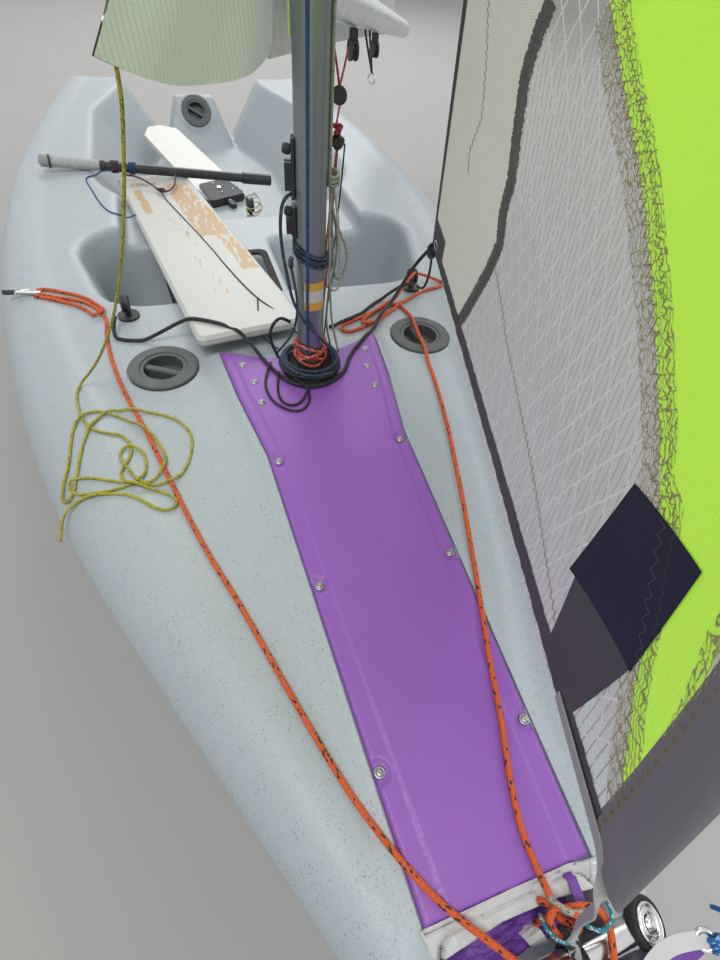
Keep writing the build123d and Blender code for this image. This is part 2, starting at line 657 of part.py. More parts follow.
def make_mainsheet_block():
    """Ratchet block standing on the swivel, carried by the arm's hub."""
    place = Pos(SHEET_X, SHEET_Y, FLOOR_Z + SHEET_ARM_RISE + SHEET_HUB_HEIGHT)
    yoke = box_between((-16, -5, 0), (16, 5, 26))
    centre = Pos(0, 0, RATCHET_R + 15)
    cheek = centre * Rot(90, 0, 0) * Cylinder(RATCHET_R, 24)
    gap = centre * Pos(0, 0, 18) * Box(70, 12, 76)
    sheave = centre * Rot(90, 0, 0) * Cylinder(RATCHET_R - 6, 15)
    hole = Pos(0, 0, -5) * extrude(Circle(SHEET_PIN_R + 1), 18)
    return place * ((yoke + cheek) - gap + sheave - hole)


def make_daggerboard():
    """Daggerboard lying in the boat, from the aft cockpit to the foredeck edge."""
    far = Vector(*BOARD_FAR)
    near = Vector(*BOARD_NEAR)
    along = (near - far).normalized()
    across = Vector(0, 0, 1).cross(along).normalized()
    plane = Plane(origin=(far + near) * 0.5, x_dir=along, z_dir=along.cross(across))
    length = (near - far).length
    plan = Rectangle(length, BOARD_CHORD)
    plan = fillet(plan.vertices(), BOARD_CORNER_R)
    board = extrude(plane * plan, BOARD_THICK / 2, both=True)
    long_edges = [edge for edge in board.edges() if edge.length > length * 0.6]
    return chamfer(long_edges, BOARD_BEVEL)


def rudder_frame():
    """Plane of the rudder as it lies: x from the stock to the blade tip, z upwards."""
    stock = Vector(*STOCK_PIVOT)
    tip = Vector(*BLADE_TIP)
    along = (tip - stock).normalized()
    across = Vector(0, 0, 1).cross(along).normalized()
    return Plane(origin=stock, x_dir=along, z_dir=along.cross(across))


def make_rudder_blade():
    """Rudder blade, turning on the pin in its stock."""
    plane = rudder_frame()
    length = BLADE_LENGTH
    half = BLADE_CHORD / 2
    outline = Polyline((-50, -half + 30), (-50, half - 30), (60, half), (length - 60, half - 20), (length, half - 70),
                       (length, -half + 60), (length - 50, -half), (60, -half), close=True)
    plan = make_face(outline)
    plan = fillet(plan.vertices(), 20)
    blade = extrude(plane * plan, BLADE_THICK / 2, both=True)
    hole = extrude(plane * Circle(PIN_R + 0.1), BLADE_THICK, both=True)
    return blade - hole


def make_rudder_stock():
    """Two cheeks, the spacer between them and the tiller socket above."""
    plane = rudder_frame()
    half = BLADE_CHORD / 2
    outline = Polyline((-75, -half + 10), (-75, half - 10), (55, half - 25), (55, -half + 25), close=True)
    plan = fillet(make_face(outline).vertices(), 18)
    cheeks = Part()
    for low in (STOCK_GAP / 2, -STOCK_GAP / 2 - STOCK_WALL):
        cheeks = cheeks + extrude(plane * Pos(0, 0, low) * plan, STOCK_WALL)
    spacer = plane * Pos(-67, 0, 0) * Box(16, BLADE_CHORD - 24, STOCK_GAP + 1)
    pintles = plane * Pos(-98, 0, 0) * Box(48, 22, 20)
    hole = extrude(plane * Circle(PIN_R), STOCK_GAP + STOCK_WALL, both=True)
    return cheeks + spacer + pintles - hole


def make_rudder_pin():
    """Bolt through the cheeks and the blade."""
    plane = rudder_frame()
    reach = STOCK_GAP / 2 + STOCK_WALL
    shank = extrude(plane * Circle(PIN_R), reach, both=True)
    heads = Part()
    for low in (reach, -reach - 4):
        heads = heads + extrude(plane * Pos(0, 0, low) * Circle(8), 4)
    return shank + heads


def tiller_point(share, up=0.0):
    """Point along the tiller as it lies across the boat."""
    start = Vector(*TILLER_START)
    end = Vector(*TILLER_END)
    point = start + (end - start) * share
    return (point.X, point.Y, point.Z + up)


def make_tiller():
    """Round tiller with a socket sleeve at its rudder end and a fork at the other."""
    bar = cylinder_between(tiller_point(0), tiller_point(1), TILLER_R)
    sleeve = cylinder_between(tiller_point(TILLER_SOCKET_FROM), tiller_point(1), TILLER_R + 4)
    return bar + sleeve


def make_tiller_extension():
    """Thin extension folded back along the tiller, on its end joint."""
    offset = TILLER_R + EXTENSION_R + SOFT_GAP
    start = Vector(*tiller_point(0)) + Vector(-offset, 0, 0)
    end = Vector(*tiller_point(EXTENSION_SHARE)) + Vector(-offset, 0, 0)
    return cylinder_between(start, end, EXTENSION_R)


def make_gudgeon(z):
    """Rudder hanger on the aft face of the stern: plate and eye with an upright bore."""
    half = GUDGEON_EYE_R
    plate = box_between((TRANSOM_X - 4, -24, z - 16), (TRANSOM_X, 24, z + 16))
    arm = box_between((TRANSOM_X - GUDGEON_REACH, -half, z - half), (TRANSOM_X - 3, half, z + half))
    eye = Pos(TRANSOM_X - GUDGEON_REACH, 0, z - half) * extrude(Circle(half), 2 * half)
    bore = Pos(TRANSOM_X - GUDGEON_REACH, 0, z - 2 * half) * extrude(Circle(GUDGEON_BORE_R), 4 * half)
    return plate + arm + eye - bore


os.makedirs("parts", exist_ok=True)

save("hull", make_hull())
save("foredeck_panel", make_panel())
save("hatch_rims", Compound([make_hatch_rim(row) for row in HATCHES]))
for hatch in HATCHES:
    save("hatch_lid_" + hatch[0], make_hatch_lid(hatch))

# Mast, in two lengths with a joint sleeve, standing in its socket through the deck
save("mast_lower", mast_tube(MAST_STEP_Z, MAST_JOINT_Z, TRACK_FROM_Z))
save("mast_upper", mast_tube(MAST_JOINT_Z, MAST_TOP_Z, MAST_JOINT_Z))
collar_z = panel_z(MAST_X)
collar = extrude(Pos(MAST_X, 0, collar_z + 2.8) * (Circle(COLLAR_R) - Circle(MAST_R + SOFT_GAP)), 10)
collar = fillet(collar.edges().filter_by(GeomType.CIRCLE).sort_by(Axis.Z)[-2:], 3)
save("mast_collar", collar)

sleeve = Circle(MAST_R + 3) - Circle(MAST_R + SOFT_GAP)
sleeve = extrude(Pos(MAST_X, 0, MAST_JOINT_Z - SLEEVE_HALF) * sleeve, 2 * SLEEVE_HALF)
sleeve_slot = box_between((MAST_X - 60, -TRACK_WIDTH / 2 - 0.4, 0), (MAST_X - 15, TRACK_WIDTH / 2 + 0.4, FAR))
save("mast_joint_sleeve", sleeve - sleeve_slot)
save("masthead_fitting", make_masthead())
save("masthead_sheave", make_sheave())
save("jib_halyard_fitting", make_jib_hound())
save("gooseneck_bracket", make_gooseneck_bracket())

# Boom and what it carries
save("boom_jaw", make_boom_jaw())
save("boom_tube", tube_between(boom_point(BOOM_START), boom_point(BOOM_START + BOOM_LENGTH), BOOM_R, BOOM_WALL))
save("boom_end_cap", make_boom_end_cap())
save("boom_blocks", Compound([make_boom_block(distance) for distance in BOOM_BLOCKS]))

# Sails as simple thin closed cloths
save("mainsail", make_mainsail())
save("jib", make_jib())

# Bow and foredeck fittings
save("bow_bar", cylinder_between((BAR_X, -BAR_HALF, BAR_Z), (BAR_X, BAR_HALF, BAR_Z), BAR_R))
save("chute_sail_bundle", make_chute_bundle())
save("jib_sheet_blocks", Compound([make_deck_block(side) for side in (1, -1)]))

# Cockpit pieces
save("board_slot_rim", make_slot_rim())
save("mainsheet_base", make_mainsheet_base())
save("mainsheet_arm", make_mainsheet_arm())
save("mainsheet_block", make_mainsheet_block())

# Foils and steering, unshipped and lying in the boat
save("daggerboard", make_daggerboard())
save("rudder_stock", make_rudder_stock())
save("rudder_blade", make_rudder_blade())
save("rudder_pivot_pin", make_rudder_pin())
save("tiller", make_tiller())
save("tiller_extension", make_tiller_extension())
save("rudder_gudgeons", Compound([make_gudgeon(z) for z in GUDGEON_Z]))
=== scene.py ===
# %% [markdown]
# # A two-handed sailing dinghy, ashore and half rigged
# The real boat is moulded in one piece from speckled polyethylene, with a coloured cover on the foredeck,
# a mast that stands through the deck without stays, and a good deal of rope and cloth lying about.
# The rigid pieces come from the fixed frame at their real size. This file gives them their finish, and
# models what is soft, woven or small: sails, ropes, webbing, screws and stitching.
# Everything is in metres. X runs forward, Y to port and Z up. The mast stands on the origin.

# %% Tools and the fixed frame
import json
import math
import random

import bmesh
import bpy
from mathutils import Matrix, Vector, noise
from mathutils.bvhtree import BVHTree
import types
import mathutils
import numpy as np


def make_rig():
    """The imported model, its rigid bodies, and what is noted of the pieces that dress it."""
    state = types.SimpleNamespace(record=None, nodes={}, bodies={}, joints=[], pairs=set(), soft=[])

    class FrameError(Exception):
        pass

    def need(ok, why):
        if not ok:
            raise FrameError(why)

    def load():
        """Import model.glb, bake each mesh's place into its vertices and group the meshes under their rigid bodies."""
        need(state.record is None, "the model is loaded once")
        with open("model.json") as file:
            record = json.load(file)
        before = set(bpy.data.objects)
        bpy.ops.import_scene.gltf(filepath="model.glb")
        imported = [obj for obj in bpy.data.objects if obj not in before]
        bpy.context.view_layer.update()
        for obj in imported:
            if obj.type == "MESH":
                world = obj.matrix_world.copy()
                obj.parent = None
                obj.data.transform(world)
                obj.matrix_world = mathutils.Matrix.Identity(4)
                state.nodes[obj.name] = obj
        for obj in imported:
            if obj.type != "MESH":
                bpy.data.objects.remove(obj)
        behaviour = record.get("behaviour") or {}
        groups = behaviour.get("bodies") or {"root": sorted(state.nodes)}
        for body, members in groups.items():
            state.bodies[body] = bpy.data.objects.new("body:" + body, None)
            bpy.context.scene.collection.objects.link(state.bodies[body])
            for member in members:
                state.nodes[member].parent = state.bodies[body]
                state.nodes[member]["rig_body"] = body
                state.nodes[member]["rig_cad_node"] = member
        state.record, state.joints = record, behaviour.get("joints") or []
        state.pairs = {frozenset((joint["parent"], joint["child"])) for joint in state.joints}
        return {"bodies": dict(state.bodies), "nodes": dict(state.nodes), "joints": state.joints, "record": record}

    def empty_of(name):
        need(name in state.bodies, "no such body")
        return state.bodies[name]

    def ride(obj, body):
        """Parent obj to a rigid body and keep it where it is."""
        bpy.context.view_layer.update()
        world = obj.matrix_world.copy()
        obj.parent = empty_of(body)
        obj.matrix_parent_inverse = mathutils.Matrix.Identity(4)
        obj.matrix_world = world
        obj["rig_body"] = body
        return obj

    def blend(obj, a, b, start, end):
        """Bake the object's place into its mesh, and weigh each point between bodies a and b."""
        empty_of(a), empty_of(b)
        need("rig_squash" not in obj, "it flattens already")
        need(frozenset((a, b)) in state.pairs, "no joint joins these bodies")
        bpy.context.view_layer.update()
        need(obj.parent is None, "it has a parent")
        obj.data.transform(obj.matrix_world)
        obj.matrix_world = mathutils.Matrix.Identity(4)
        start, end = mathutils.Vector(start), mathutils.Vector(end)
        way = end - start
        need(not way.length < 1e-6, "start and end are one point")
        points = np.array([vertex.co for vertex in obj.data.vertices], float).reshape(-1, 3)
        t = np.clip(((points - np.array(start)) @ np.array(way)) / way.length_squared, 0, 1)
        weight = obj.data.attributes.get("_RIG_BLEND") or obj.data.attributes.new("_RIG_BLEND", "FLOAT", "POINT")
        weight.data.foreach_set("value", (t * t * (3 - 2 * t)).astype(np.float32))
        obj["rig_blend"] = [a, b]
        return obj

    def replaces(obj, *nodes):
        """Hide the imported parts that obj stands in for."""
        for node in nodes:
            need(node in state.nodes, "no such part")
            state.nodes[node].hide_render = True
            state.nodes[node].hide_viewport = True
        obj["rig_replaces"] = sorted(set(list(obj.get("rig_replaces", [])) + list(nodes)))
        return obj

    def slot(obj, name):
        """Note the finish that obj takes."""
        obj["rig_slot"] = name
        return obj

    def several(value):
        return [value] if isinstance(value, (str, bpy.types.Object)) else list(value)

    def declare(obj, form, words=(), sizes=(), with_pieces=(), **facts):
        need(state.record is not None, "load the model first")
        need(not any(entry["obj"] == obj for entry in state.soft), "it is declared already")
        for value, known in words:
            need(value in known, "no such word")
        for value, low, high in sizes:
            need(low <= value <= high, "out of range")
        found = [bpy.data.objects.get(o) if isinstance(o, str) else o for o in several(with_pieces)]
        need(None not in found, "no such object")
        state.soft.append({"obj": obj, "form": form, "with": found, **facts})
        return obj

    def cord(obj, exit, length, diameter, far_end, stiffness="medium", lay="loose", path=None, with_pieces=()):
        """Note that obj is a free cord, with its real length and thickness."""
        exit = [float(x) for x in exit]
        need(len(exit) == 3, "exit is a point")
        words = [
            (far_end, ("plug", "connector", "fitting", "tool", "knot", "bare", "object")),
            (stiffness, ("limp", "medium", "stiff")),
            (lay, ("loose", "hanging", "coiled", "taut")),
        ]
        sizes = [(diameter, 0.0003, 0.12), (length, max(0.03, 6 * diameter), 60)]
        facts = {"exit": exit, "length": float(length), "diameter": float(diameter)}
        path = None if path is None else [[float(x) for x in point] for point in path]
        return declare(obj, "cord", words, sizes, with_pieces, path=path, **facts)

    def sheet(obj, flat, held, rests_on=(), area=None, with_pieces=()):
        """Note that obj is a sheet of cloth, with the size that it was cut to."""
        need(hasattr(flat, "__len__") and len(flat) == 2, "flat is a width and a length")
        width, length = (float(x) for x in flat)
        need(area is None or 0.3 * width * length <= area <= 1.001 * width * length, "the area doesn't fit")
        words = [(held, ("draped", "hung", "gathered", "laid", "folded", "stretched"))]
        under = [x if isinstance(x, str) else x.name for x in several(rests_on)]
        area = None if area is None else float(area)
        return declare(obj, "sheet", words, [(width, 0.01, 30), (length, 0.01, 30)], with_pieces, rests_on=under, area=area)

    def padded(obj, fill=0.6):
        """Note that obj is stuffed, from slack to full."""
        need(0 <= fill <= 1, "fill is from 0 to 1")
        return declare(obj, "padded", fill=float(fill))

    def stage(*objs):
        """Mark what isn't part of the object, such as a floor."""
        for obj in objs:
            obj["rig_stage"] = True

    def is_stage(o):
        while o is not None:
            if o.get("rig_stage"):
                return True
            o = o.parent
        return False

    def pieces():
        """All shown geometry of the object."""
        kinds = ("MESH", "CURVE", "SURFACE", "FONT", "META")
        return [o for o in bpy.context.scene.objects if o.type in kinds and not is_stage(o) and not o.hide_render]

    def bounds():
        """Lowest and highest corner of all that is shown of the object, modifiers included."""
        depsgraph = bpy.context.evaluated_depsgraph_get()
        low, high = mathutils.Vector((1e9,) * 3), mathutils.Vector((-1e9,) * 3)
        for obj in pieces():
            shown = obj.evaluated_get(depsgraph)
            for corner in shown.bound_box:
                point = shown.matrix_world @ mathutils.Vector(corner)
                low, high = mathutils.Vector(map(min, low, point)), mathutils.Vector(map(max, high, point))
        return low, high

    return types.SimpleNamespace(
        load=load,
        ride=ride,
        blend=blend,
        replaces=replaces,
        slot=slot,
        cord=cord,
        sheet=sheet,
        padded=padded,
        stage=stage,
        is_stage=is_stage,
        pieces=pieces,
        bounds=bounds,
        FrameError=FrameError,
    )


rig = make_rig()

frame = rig.load()
cad_bounds = [list(corner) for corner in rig.bounds()]
print("pieces in the frame:", len(frame["nodes"]), "box:", cad_bounds)


def new_object(name, data):
    """An object in the scene."""
    made = bpy.data.objects.new(name, data)
    bpy.context.collection.objects.link(made)
    return made


# %% [markdown]
# ## The viewpoint
# The picture was taken by someone standing just ahead of the mast, a little to starboard, and looking down
# and aft. The three directions of the camera are stated and its matrix is made from them, because a camera
# that is aimed at a target has no roll, and a roll of the wrist shows in a wide picture.

# %% Camera
EYE = Vector((0.8142, -0.2119, 1.1503))
VIEW_RIGHT = Vector((0.31056, 0.94716, 0.08019))
VIEW_UP = Vector((-0.75334, 0.19381, 0.62843))
VIEW_BACK = Vector((0.57968, -0.25557, 0.77373))
LENS = 18.372  # on a 36 mm tall frame

camera_data = bpy.data.cameras.new("viewpoint")
camera_data.lens = LENS
camera_data.sensor_width = 36.0
camera_data.sensor_fit = "AUTO"
camera_data.clip_start = 0.02
camera_data.clip_end = 100.0
camera = new_object("viewpoint", camera_data)
turn = Matrix((VIEW_RIGHT, VIEW_UP, VIEW_BACK)).transposed().to_4x4()
camera.matrix_world = Matrix.Translation(EYE) @ turn
bpy.context.scene.camera = camera
print("camera at", tuple(round(value, 3) for value in EYE))

# %% [markdown]
# ## A short way to write materials
# Each finish below is a small network of nodes. `Network` holds the short calls that build nodes, and
# groups use it too. `Finish` adds the material and its one Principled shader. Patterns read Object
# coordinates, which are metres here, so a scale of 1000 means one feature per millimetre.


# %% Writing materials
class Network:
    """The nodes of one material or one group, and the short calls that build them."""

    def __init__(self, tree, place):
        self.tree = tree
        self.place = place

    def node(self, kind, values=None, **settings):
        """A node with its settings, and its inputs filled by values or by sockets."""
        made = self.tree.nodes.new(kind)
        for key, value in settings.items():
            setattr(made, key, value)
        for key, value in (values or {}).items():
            if hasattr(value, "is_output"):
                self.link(value, made.inputs[key])
            else:
                made.inputs[key].default_value = value
        return made

    def link(self, source, target):
        self.tree.links.new(source, target)

    def stretched(self, size):
        """The coordinates, scaled by three numbers."""
        return self.node("ShaderNodeMapping", {"Vector": self.place, "Scale": size}).outputs["Vector"]

    def noise(self, scale, detail=3.0, vector=None, distortion=0.0):
        values = {"Scale": scale, "Detail": detail, "Distortion": distortion, "Vector": vector or self.place}
        return self.node("ShaderNodeTexNoise", values).outputs["Fac"]

    def between(self, value, low, high, to_low=0.0, to_high=1.0):
        """Maps a range of a value smoothly to another range."""
        values = {"Value": value, "From Min": low, "From Max": high, "To Min": to_low, "To Max": to_high}
        return self.node("ShaderNodeMapRange", values, interpolation_type="SMOOTHSTEP").outputs["Result"]

    def maths(self, operation, first, second=0.0):
        return self.node("ShaderNodeMath", {0: first, 1: second}, operation=operation).outputs["Value"]

    def times(self, first, second):
        return self.maths("MULTIPLY", first, second)

    def vectors(self, operation, values):
        return self.node("ShaderNodeVectorMath", values, operation=operation).outputs

    def parts(self, vector):
        """The three numbers of a vector."""
        return self.node("ShaderNodeSeparateXYZ", {0: vector}).outputs

    def mix(self, mask, first, second):
        """Colour that goes from the first to the second as the mask goes from 0 to 1."""
        values = {0: mask, 6: as_colour(first), 7: as_colour(second)}
        return self.node("ShaderNodeMix", values, data_type="RGBA").outputs[2]

    def over(self, tone, mask, share, colour):
        """Lays a share of a colour over a tone where the mask is 1."""
        return self.mix(self.times(mask, share), tone, colour)

    def group(self, name, values):
        return self.node("ShaderNodeGroup", values, node_tree=bpy.data.node_groups[name]).outputs

    def smudges(self, scale, cover, vector=None):
        return self.group("smudges", {"Vector": vector or self.place, "Scale": scale, "Cover": cover})

    def threads(self, vector, angle, spacing, width):
        values = {"Vector": vector, "Angle": angle, "Spacing": spacing, "Width": width}
        return self.group("threads", values)["Line"]


class Finish(Network):
    """One material with its Principled shader."""

    def __init__(self, name, colour, roughness, metallic=0.0):
        self.material = bpy.data.materials.new(name)
        self.material.use_nodes = True
        tree = self.material.node_tree
        self.shader = tree.nodes["Principled BSDF"]
        source = tree.nodes.new("ShaderNodeTexCoord")
        super().__init__(tree, source.outputs["Object"])
        self.metres = source.outputs["UV"]
        self.set("Base Color", (*colour, 1.0))
        self.set("Roughness", roughness)
        self.set("Metallic", metallic)

    def set(self, name, value):
        if hasattr(value, "is_output"):
            self.link(value, self.shader.inputs[name])
        else:
            self.shader.inputs[name].default_value = value

    def colour(self, socket):
        self.set("Base Color", socket)

    def rough(self, grain, low, high):
        """Roughness that follows a fine grain."""
        self.set("Roughness", self.between(grain, 0.3, 0.7, low, high))

    def bump(self, height, strength, distance):
        values = {"Strength": strength, "Distance": distance, "Height": height}
        self.set("Normal", self.node("ShaderNodeBump", values).outputs["Normal"])

    def bent(self, wave, amount):
        """The cloth's own metres, moved a little by a wave."""
        moved = self.vectors("SCALE", {0: wave, "Scale": amount})[0]
        return self.vectors("ADD", {0: self.metres, 1: moved})[0]

    def glow(self, colour, strength):
        """Painted light: an even glow that stands for the light that comes through cloth from behind."""
        self.set("Emission Color", (*colour, 1.0))
        self.set("Emission Strength", strength)


def as_colour(value):
    """A colour with its fourth value, or the socket that it is given."""
    if isinstance(value, tuple) and len(value) == 3:
        return (*value, 1.0)
    return value


def dimmed(colour, share, extra=0.0):
    """A darker or paler form of a colour."""
    return tuple(share * part + extra for part in colour)


def group_tree(name, inputs, outputs):
    """An empty shader group: its network, and the sockets that it is given and gives."""
    tree = bpy.data.node_groups.new(name, "ShaderNodeTree")
    tree.interface.new_socket("Vector", in_out="INPUT", socket_type="NodeSocketVector")
    for label, value in inputs.items():
        socket = tree.interface.new_socket(label, in_out="INPUT", socket_type="NodeSocketFloat")
        socket.default_value = value
    for label in outputs:
        tree.interface.new_socket(label, in_out="OUTPUT", socket_type="NodeSocketFloat")
    given = tree.nodes.new("NodeGroupInput").outputs
    print("group begun:", name)
    return Network(tree, given["Vector"]), given, tree.nodes.new("NodeGroupOutput").inputs


# %% [markdown]
# ## Light, floor and a neutral view of colour
# An overcast sky is one huge soft lamp. The world gives that sky, and three area lamps give it a direction,
# so that round forms have a light and a dark side. Camera, glossy and see-through rays find a paler
# background than the one that lights the boat, so the light level stays plain.

# %% Light, background and floor
SKY_LIGHT = 0.44
BACKDROP = 0.93
FLOOR_COLOUR = (0.46, 0.45, 0.435)
FLOOR_HALF = 14.0
FLOOR_DROP = 0.001

scene = bpy.context.scene
scene.view_settings.view_transform = "Standard"
world = bpy.data.worlds.new("sky")
scene.world = world
world.use_nodes = True
world.node_tree.nodes.clear()
sky = Network(world.node_tree, None)
rays = sky.node("ShaderNodeLightPath").outputs
seen = sky.maths("MAXIMUM", rays["Is Camera Ray"], rays["Is Glossy Ray"])
seen = sky.maths("MAXIMUM", seen, rays["Is Transmission Ray"])
shades = [sky.node("ShaderNodeBackground", {"Color": colour, "Strength": strength}).outputs[0]
          for colour, strength in (((0.93, 0.96, 1.0, 1.0), SKY_LIGHT), ((0.94, 0.95, 0.96, 1.0), BACKDROP))]
mixed = sky.node("ShaderNodeMixShader", {0: seen, 1: shades[0], 2: shades[1]})
sky.node("ShaderNodeOutputWorld", {0: mixed.outputs[0]})

for name, place, target, size, power in [
        ("lamp_high", (2.5, -2.2, 8.6), (-0.5, 0.0, 0.5), 4.5, 350.0),
        ("lamp_aft", (-7.0, 1.5, 5.0), (-0.5, 0.0, 0.8), 4.0, 210.0),
        ("lamp_port", (2.0, 6.5, 5.5), (-0.5, 0.0, 0.5), 4.0, 130.0)]:
    data = bpy.data.lights.new(name, "AREA")
    data.size = size
    data.energy = power
    lamp = new_object(name, data)
    lamp.location = place
    lamp.rotation_euler = (Vector(target) - Vector(place)).to_track_quat("-Z", "Y").to_euler()

floor_mesh = bpy.data.meshes.new("floor")
floor_corners = [(x * FLOOR_HALF, y * FLOOR_HALF, -FLOOR_DROP)
                 for x, y in ((-1, -1), (1, -1), (1, 1), (-1, 1))]
floor_mesh.from_pydata(floor_corners, [], [(0, 1, 2, 3)])
floor = new_object("floor", floor_mesh)
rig.stage(floor)
print("lamps and floor are set")

# %% [markdown]
# ## Effects that many finishes share
# Dust, smudges, speckles and weave come back on plastic, metal and cloth. Each is built once as a shader
# group with named inputs, and each material uses it with its own numbers. A group gives out masks only,
# because the shader itself has to stay in the material.

# %% Shared effects: smudges and dust, and the speckles moulded into plastic
net, given, out = group_tree("smudges", {"Scale": 6.0, "Cover": 0.5}, ["Mask", "Fine"])
broad = net.node("ShaderNodeTexNoise", {"Vector": net.place, "Scale": given["Scale"], "Detail": 6.0,
                                        "Roughness": 0.62}).outputs["Fac"]
net.link(net.between(broad, net.maths("SUBTRACT", 1.0, given["Cover"]), 0.95), out["Mask"])
net.link(net.noise(260.0), out["Fine"])

net, given, out = group_tree("speckles", {"Scale": 260.0, "Amount": 0.2}, ["Dark", "Grain"])
cells = net.node("ShaderNodeTexVoronoi", {"Vector": net.place, "Scale": given["Scale"]})
size = net.times(net.noise(38.0, 2.0), given["Amount"])
net.link(net.maths("LESS_THAN", cells.outputs["Distance"], size), out["Dark"])
net.link(net.noise(900.0, 2.0), out["Grain"])

# %% [markdown]
# Braid and weave follow the rope or the cloth, so they can't read plain Object coordinates. Each rope
# carries a UV map with turns around it and metres along it, and each cloth one in metres both ways.

# %% Shared effects: braided rope, and sets of parallel threads
net, given, out = group_tree("braid", {"Around": 6.0, "Along": 120.0}, ["Height", "Cell"])
apart = net.parts(net.place)
turns = net.times(apart["X"], given["Around"])
steps = net.times(apart["Y"], given["Along"])
ways = [net.maths("ADD", turns, steps), net.maths("SUBTRACT", turns, steps)]
ridges = [net.maths("ABSOLUTE", net.maths("SINE", net.times(way, math.pi))) for way in ways]
net.link(net.times(*ridges), out["Height"])
cell = net.node("ShaderNodeCombineXYZ", {number: net.maths("FLOOR", way) for number, way in enumerate(ways)})
pick = net.node("ShaderNodeTexWhiteNoise", {"Vector": cell.outputs[0]}, noise_dimensions="3D")
net.link(pick.outputs["Value"], out["Cell"])

net, given, out = group_tree("threads", {"Angle": 0.0, "Spacing": 0.01, "Width": 0.1}, ["Line"])
apart = net.parts(net.place)
across = net.times(apart["X"], net.maths("COSINE", given["Angle"]))
up = net.times(apart["Y"], net.maths("SINE", given["Angle"]))
place = net.maths("DIVIDE", net.maths("ADD", across, up), given["Spacing"])
middle = net.maths("ABSOLUTE", net.maths("SUBTRACT", net.maths("FRACT", place), 0.5))
net.link(net.maths("LESS_THAN", middle, net.times(given["Width"], 0.5)), out["Line"])
print("shared effects are made")

# %% [markdown]
# ## Finishes of the rigid pieces
# The hull is grey polyethylene with the dark grains that the powder leaves in it. The panel is the same
# plastic in purple, scuffed and dusty. Fittings are weathered black nylon, and the spars clear anodised.

# %% Hull, panel and floor finishes
HULL_GREY = (0.440, 0.487, 0.512)
PANEL_PURPLE = (0.295, 0.105, 0.475)

hull_finish = Finish("hull_polyethylene", HULL_GREY, 0.42)
marks = hull_finish.smudges(3.2, 0.52)
grains, coarse = [hull_finish.group("speckles", {"Vector": hull_finish.place, "Scale": scale, "Amount": amount})
                  for scale, amount in ((240.0, 0.44), (105.0, 0.24))]
tone = hull_finish.over(HULL_GREY, marks["Mask"], 0.30, (0.345, 0.395, 0.395))
tone = hull_finish.over(tone, grains["Dark"], 0.34, (0.13, 0.16, 0.17))
hull_finish.colour(hull_finish.over(tone, coarse["Dark"], 0.42, (0.10, 0.13, 0.14)))
hull_finish.rough(marks["Fine"], 0.36, 0.52)
hull_finish.bump(grains["Grain"], 0.12, 0.0006)

panel_finish = Finish("panel_purple", PANEL_PURPLE, 0.40)
marks = panel_finish.smudges(5.0, 0.55)
dirt = panel_finish.smudges(11.0, 0.36, panel_finish.stretched((1.0, 1.6, 1.0)))
tone = panel_finish.over(PANEL_PURPLE, marks["Mask"], 0.45, (0.36, 0.15, 0.50))
panel_finish.colour(panel_finish.over(tone, dirt["Mask"], 0.55, (0.20, 0.12, 0.26)))
panel_finish.rough(marks["Fine"], 0.34, 0.52)
panel_finish.bump(panel_finish.noise(420.0, 2.0), 0.10, 0.0005)

floor_finish = Finish("floor_plain", FLOOR_COLOUR, 0.9)
floor_finish.colour(floor_finish.mix(floor_finish.noise(1.5, 2.0), FLOOR_COLOUR, (0.43, 0.42, 0.405)))
floor.data.materials.append(floor_finish.material)
print("hull, panel and floor finishes are made")


# %% Finishes of fittings, spars and blades
def worn_plastic(name, colour, worn, roughness):
    """Plastic with paler rubbed places and dust in its grain."""
    made = Finish(name, colour, roughness)
    marks = made.smudges(26.0, 0.55)
    made.colour(made.over(colour, marks["Mask"], 0.6, worn))
    made.rough(marks["Fine"], roughness - 0.08, roughness + 0.14)
    made.bump(made.noise(700.0, 2.0), 0.15, 0.0003)
    return made


def bare_metal(name, colour, roughness, brushed):
    """Metal with fine brush lines, smudged by hands."""
    made = Finish(name, colour, roughness, 1.0)
    lines = made.noise(60.0, 4.0, made.stretched(brushed))
    made.rough(lines, roughness - 0.07, roughness + 0.12)
    made.colour(made.over(colour, made.smudges(14.0, 0.5)["Mask"], 0.4, dimmed(colour, 0.72)))
    made.bump(lines, 0.05, 0.0003)
    return made


black_plastic = worn_plastic("black_plastic", (0.030, 0.031, 0.034), (0.085, 0.088, 0.09), 0.52)
grey_plastic = worn_plastic("grey_plastic", (0.105, 0.112, 0.115), (0.20, 0.21, 0.21), 0.60)
black_rubber = worn_plastic("black_rubber", (0.018, 0.018, 0.019), (0.05, 0.05, 0.05), 0.78)
black_tube = worn_plastic("black_anodised", (0.024, 0.025, 0.030), (0.10, 0.10, 0.11), 0.34)
alloy = bare_metal("alloy_anodised", (0.28, 0.31, 0.33), 0.38, (1.0, 1.0, 0.02))
boom_alloy = bare_metal("boom_alloy", (0.62, 0.64, 0.65), 0.34, (0.3, 0.3, 1.0))
steel = bare_metal("stainless_steel", (0.66, 0.66, 0.65), 0.16, (1.0, 0.05, 1.0))

